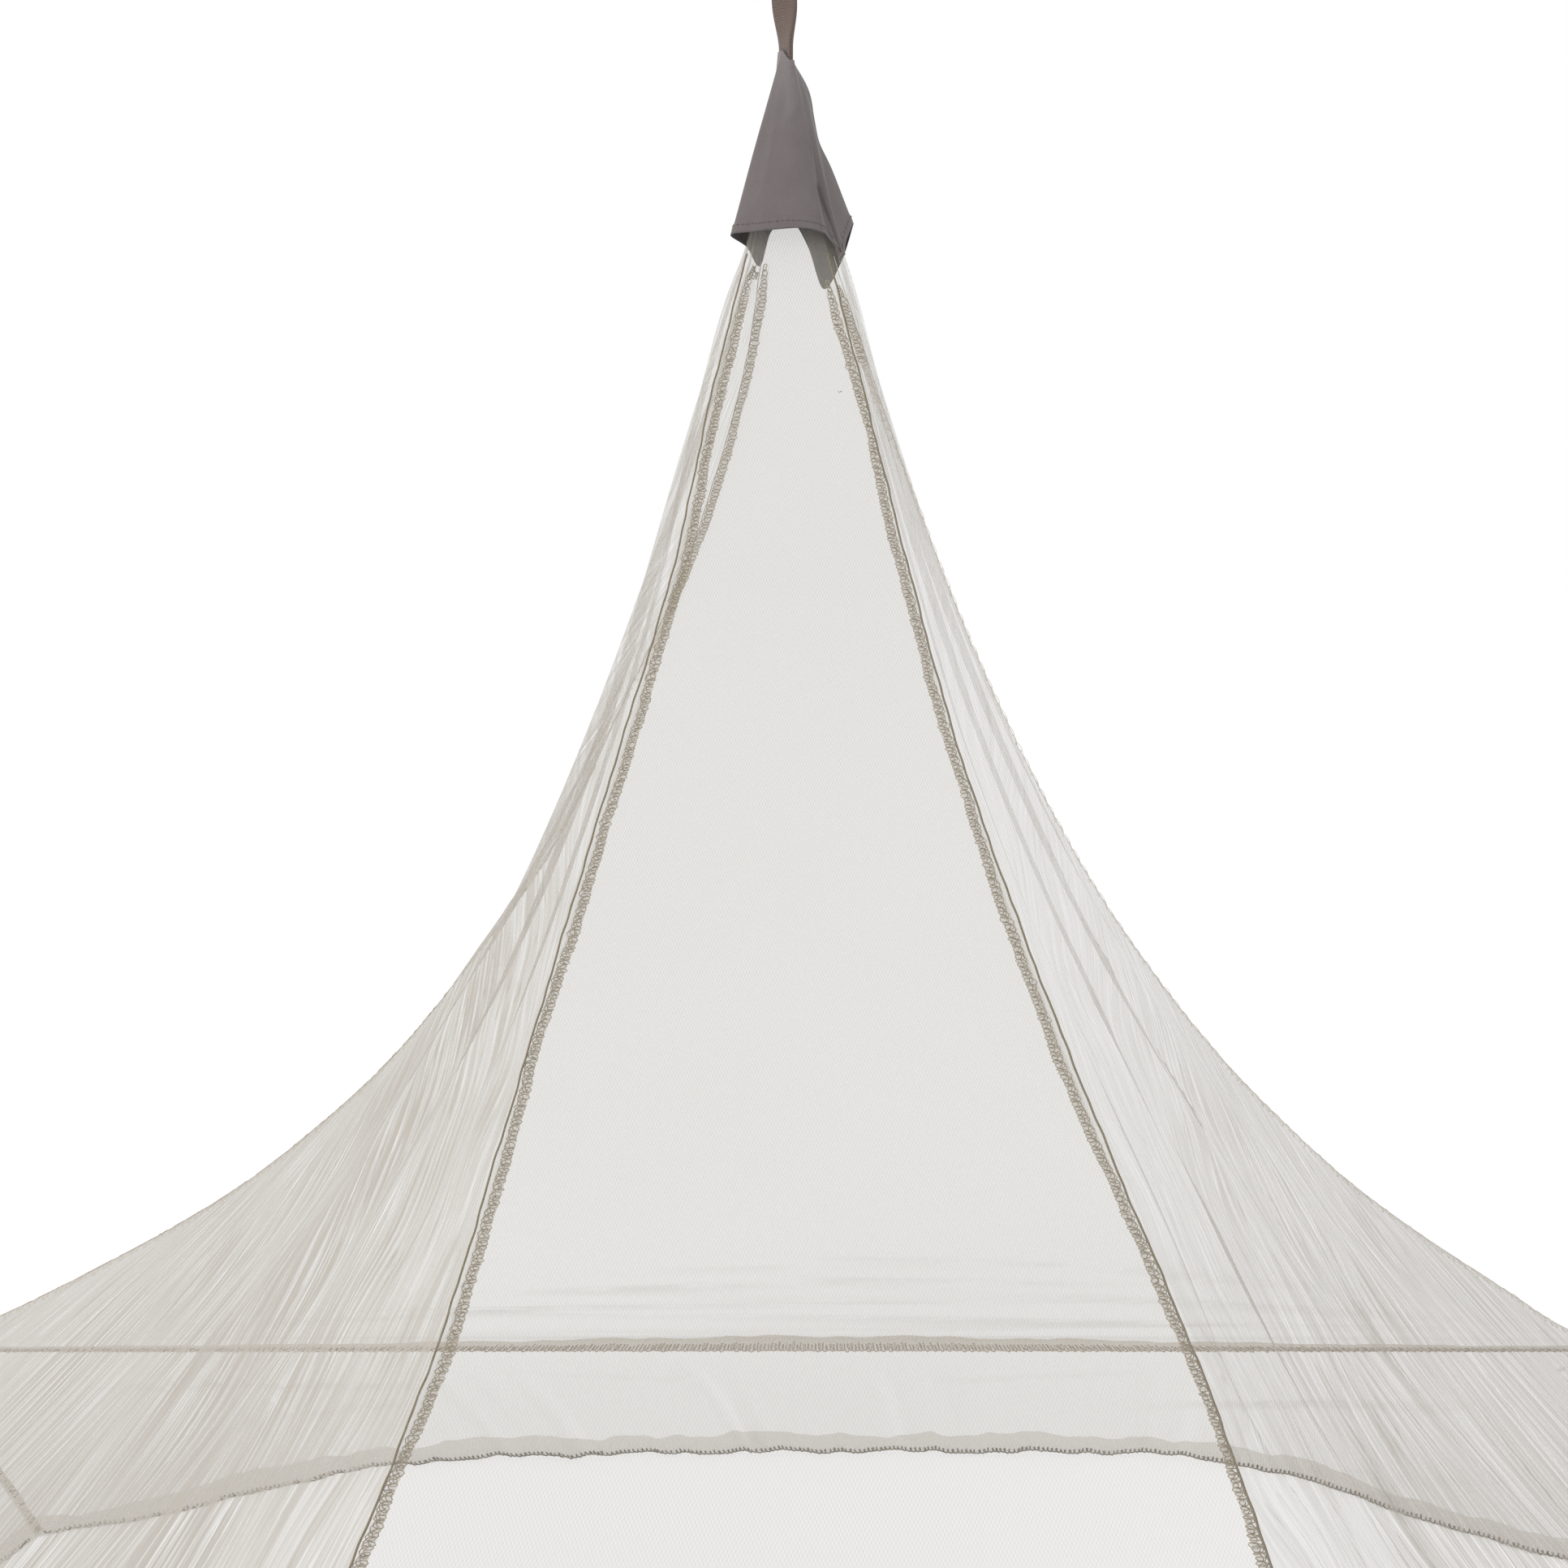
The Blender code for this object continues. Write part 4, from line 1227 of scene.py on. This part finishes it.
def studio():
    scene = bpy.context.scene
    floor_mesh, across, down = grid(1, 1)
    lay(floor_mesh, at((across - 0.5) * FLOOR_SIZE, (0.5 - down) * FLOOR_SIZE, 0.0))
    floor_mesh.shade_flat()
    floor = bpy.data.objects.new("floor", floor_mesh)
    scene.collection.objects.link(floor)
    made, shader, _, _ = surfaced("white studio floor", 1.0, 0.0)
    shader.inputs["Base Color"].default_value = (0.35, 0.35, 0.35, 1.0)
    shader.inputs["Emission Color"].default_value = (1.0, 1.0, 1.0, 1.0)
    shader.inputs["Emission Strength"].default_value = 0.65
    floor_mesh.materials.append(made)

    scene.world = bpy.data.worlds.new("studio white")
    scene.world.use_nodes = True
    background = scene.world.node_tree.nodes["Background"]
    background.inputs["Color"].default_value = (1.0, 1.0, 1.0, 1.0)
    background.inputs["Strength"].default_value = 1.0

    for name, place, power in SOFT_BOXES:
        light = bpy.data.lights.new(name, "AREA")
        light.size = 1.6
        light.energy = power
        lamp = bpy.data.objects.new(name, light)
        lamp.location = place
        lamp.rotation_euler = (AIM - Vector(place)).to_track_quat("-Z", "Y").to_euler()
        scene.collection.objects.link(lamp)


FLOOR_SIZE = 14.0
SOFT_BOXES = (("soft box left", (-2.4, -2.2, 1.4), 58.0), ("soft box right", (2.6, -1.6, 0.8), 2.0))
AIM = Vector((0.0, -0.1, -0.35))  # what the soft boxes face

CAMERA_HEIGHT = 0.797
CAMERA_BACK = 1.253
CAMERA_TILT = 11.0  # degrees below the level
FOCAL_PIXELS, FRAME_PIXELS, SENSOR = 2400.0, 1932.0, 36.0


def camera():
    lens = bpy.data.cameras.new("camera")
    lens.sensor_width = SENSOR
    lens.lens = SENSOR * FOCAL_PIXELS / FRAME_PIXELS
    lens.clip_start = 0.01
    eye = bpy.data.objects.new("camera", lens)
    eye.location = (0.0, -CAMERA_BACK, CAMERA_HEIGHT - HANG_HEIGHT)
    eye.rotation_euler = (radians(90 - CAMERA_TILT), 0.0, 0.0)
    bpy.context.scene.collection.objects.link(eye)
    bpy.context.scene.camera = eye


# ---- the whole

COLLECTION = bpy.data.collections.new("mosquito net canopy")
bpy.context.scene.collection.children.link(COLLECTION)
bpy.context.scene.view_settings.view_transform = "Standard"

NETS = {
    "face": net_material("knitted net", "aaa69f", 0.255, 0.3),
    "side": net_material("knitted net, creased", "a7a198", 0.345, 0.8, creased=True),
    "hem": net_material("knitted net, turned hem", "a3977f", 0.34, 0.1),
    "allowance": net_material("knitted net, two layers", "a4957b", 0.4, 0.1),
}
THREAD_TONES = {
    "looper": ("overlock thread", "c8b899", "42361f"),
    "line": ("lockstitch thread", "8f8470", "625843"),
    # painted light: this copy of the overlock thread is coloured pale to stand in for light shining through
    # it from behind
    "pale": ("overlock thread, painted pale as if backlit", "dcd7cd", "c4bdb0"),
    "eave": ("overlock thread, eave", "b5a695", "8a7c6d"),
    "cap": ("cap thread", "7c7373", "4d4747", 0.0006),
    "hem": ("overlock thread, hem", "7d7264", "443c32"),
}
THREADS = {key: thread_material(*tones) for key, tones in THREAD_TONES.items()}
FINISHES = {
    "cap": cap_material("plain woven polyester", "5e5756", "726b6c"),
    # painted shade: the inner side's dark tones stand in for the shade inside the cap
    "cap_painted_shade": cap_material("plain woven polyester, inner side in painted shade", "2b2726", "383333"),
    "webbing": webbing_material(),
}

roof(NETS)
skirt(NETS, THREADS)
seams(NETS, THREADS)
cap(FINISHES, THREADS)
hang_loop(FINISHES)
studio()
camera()
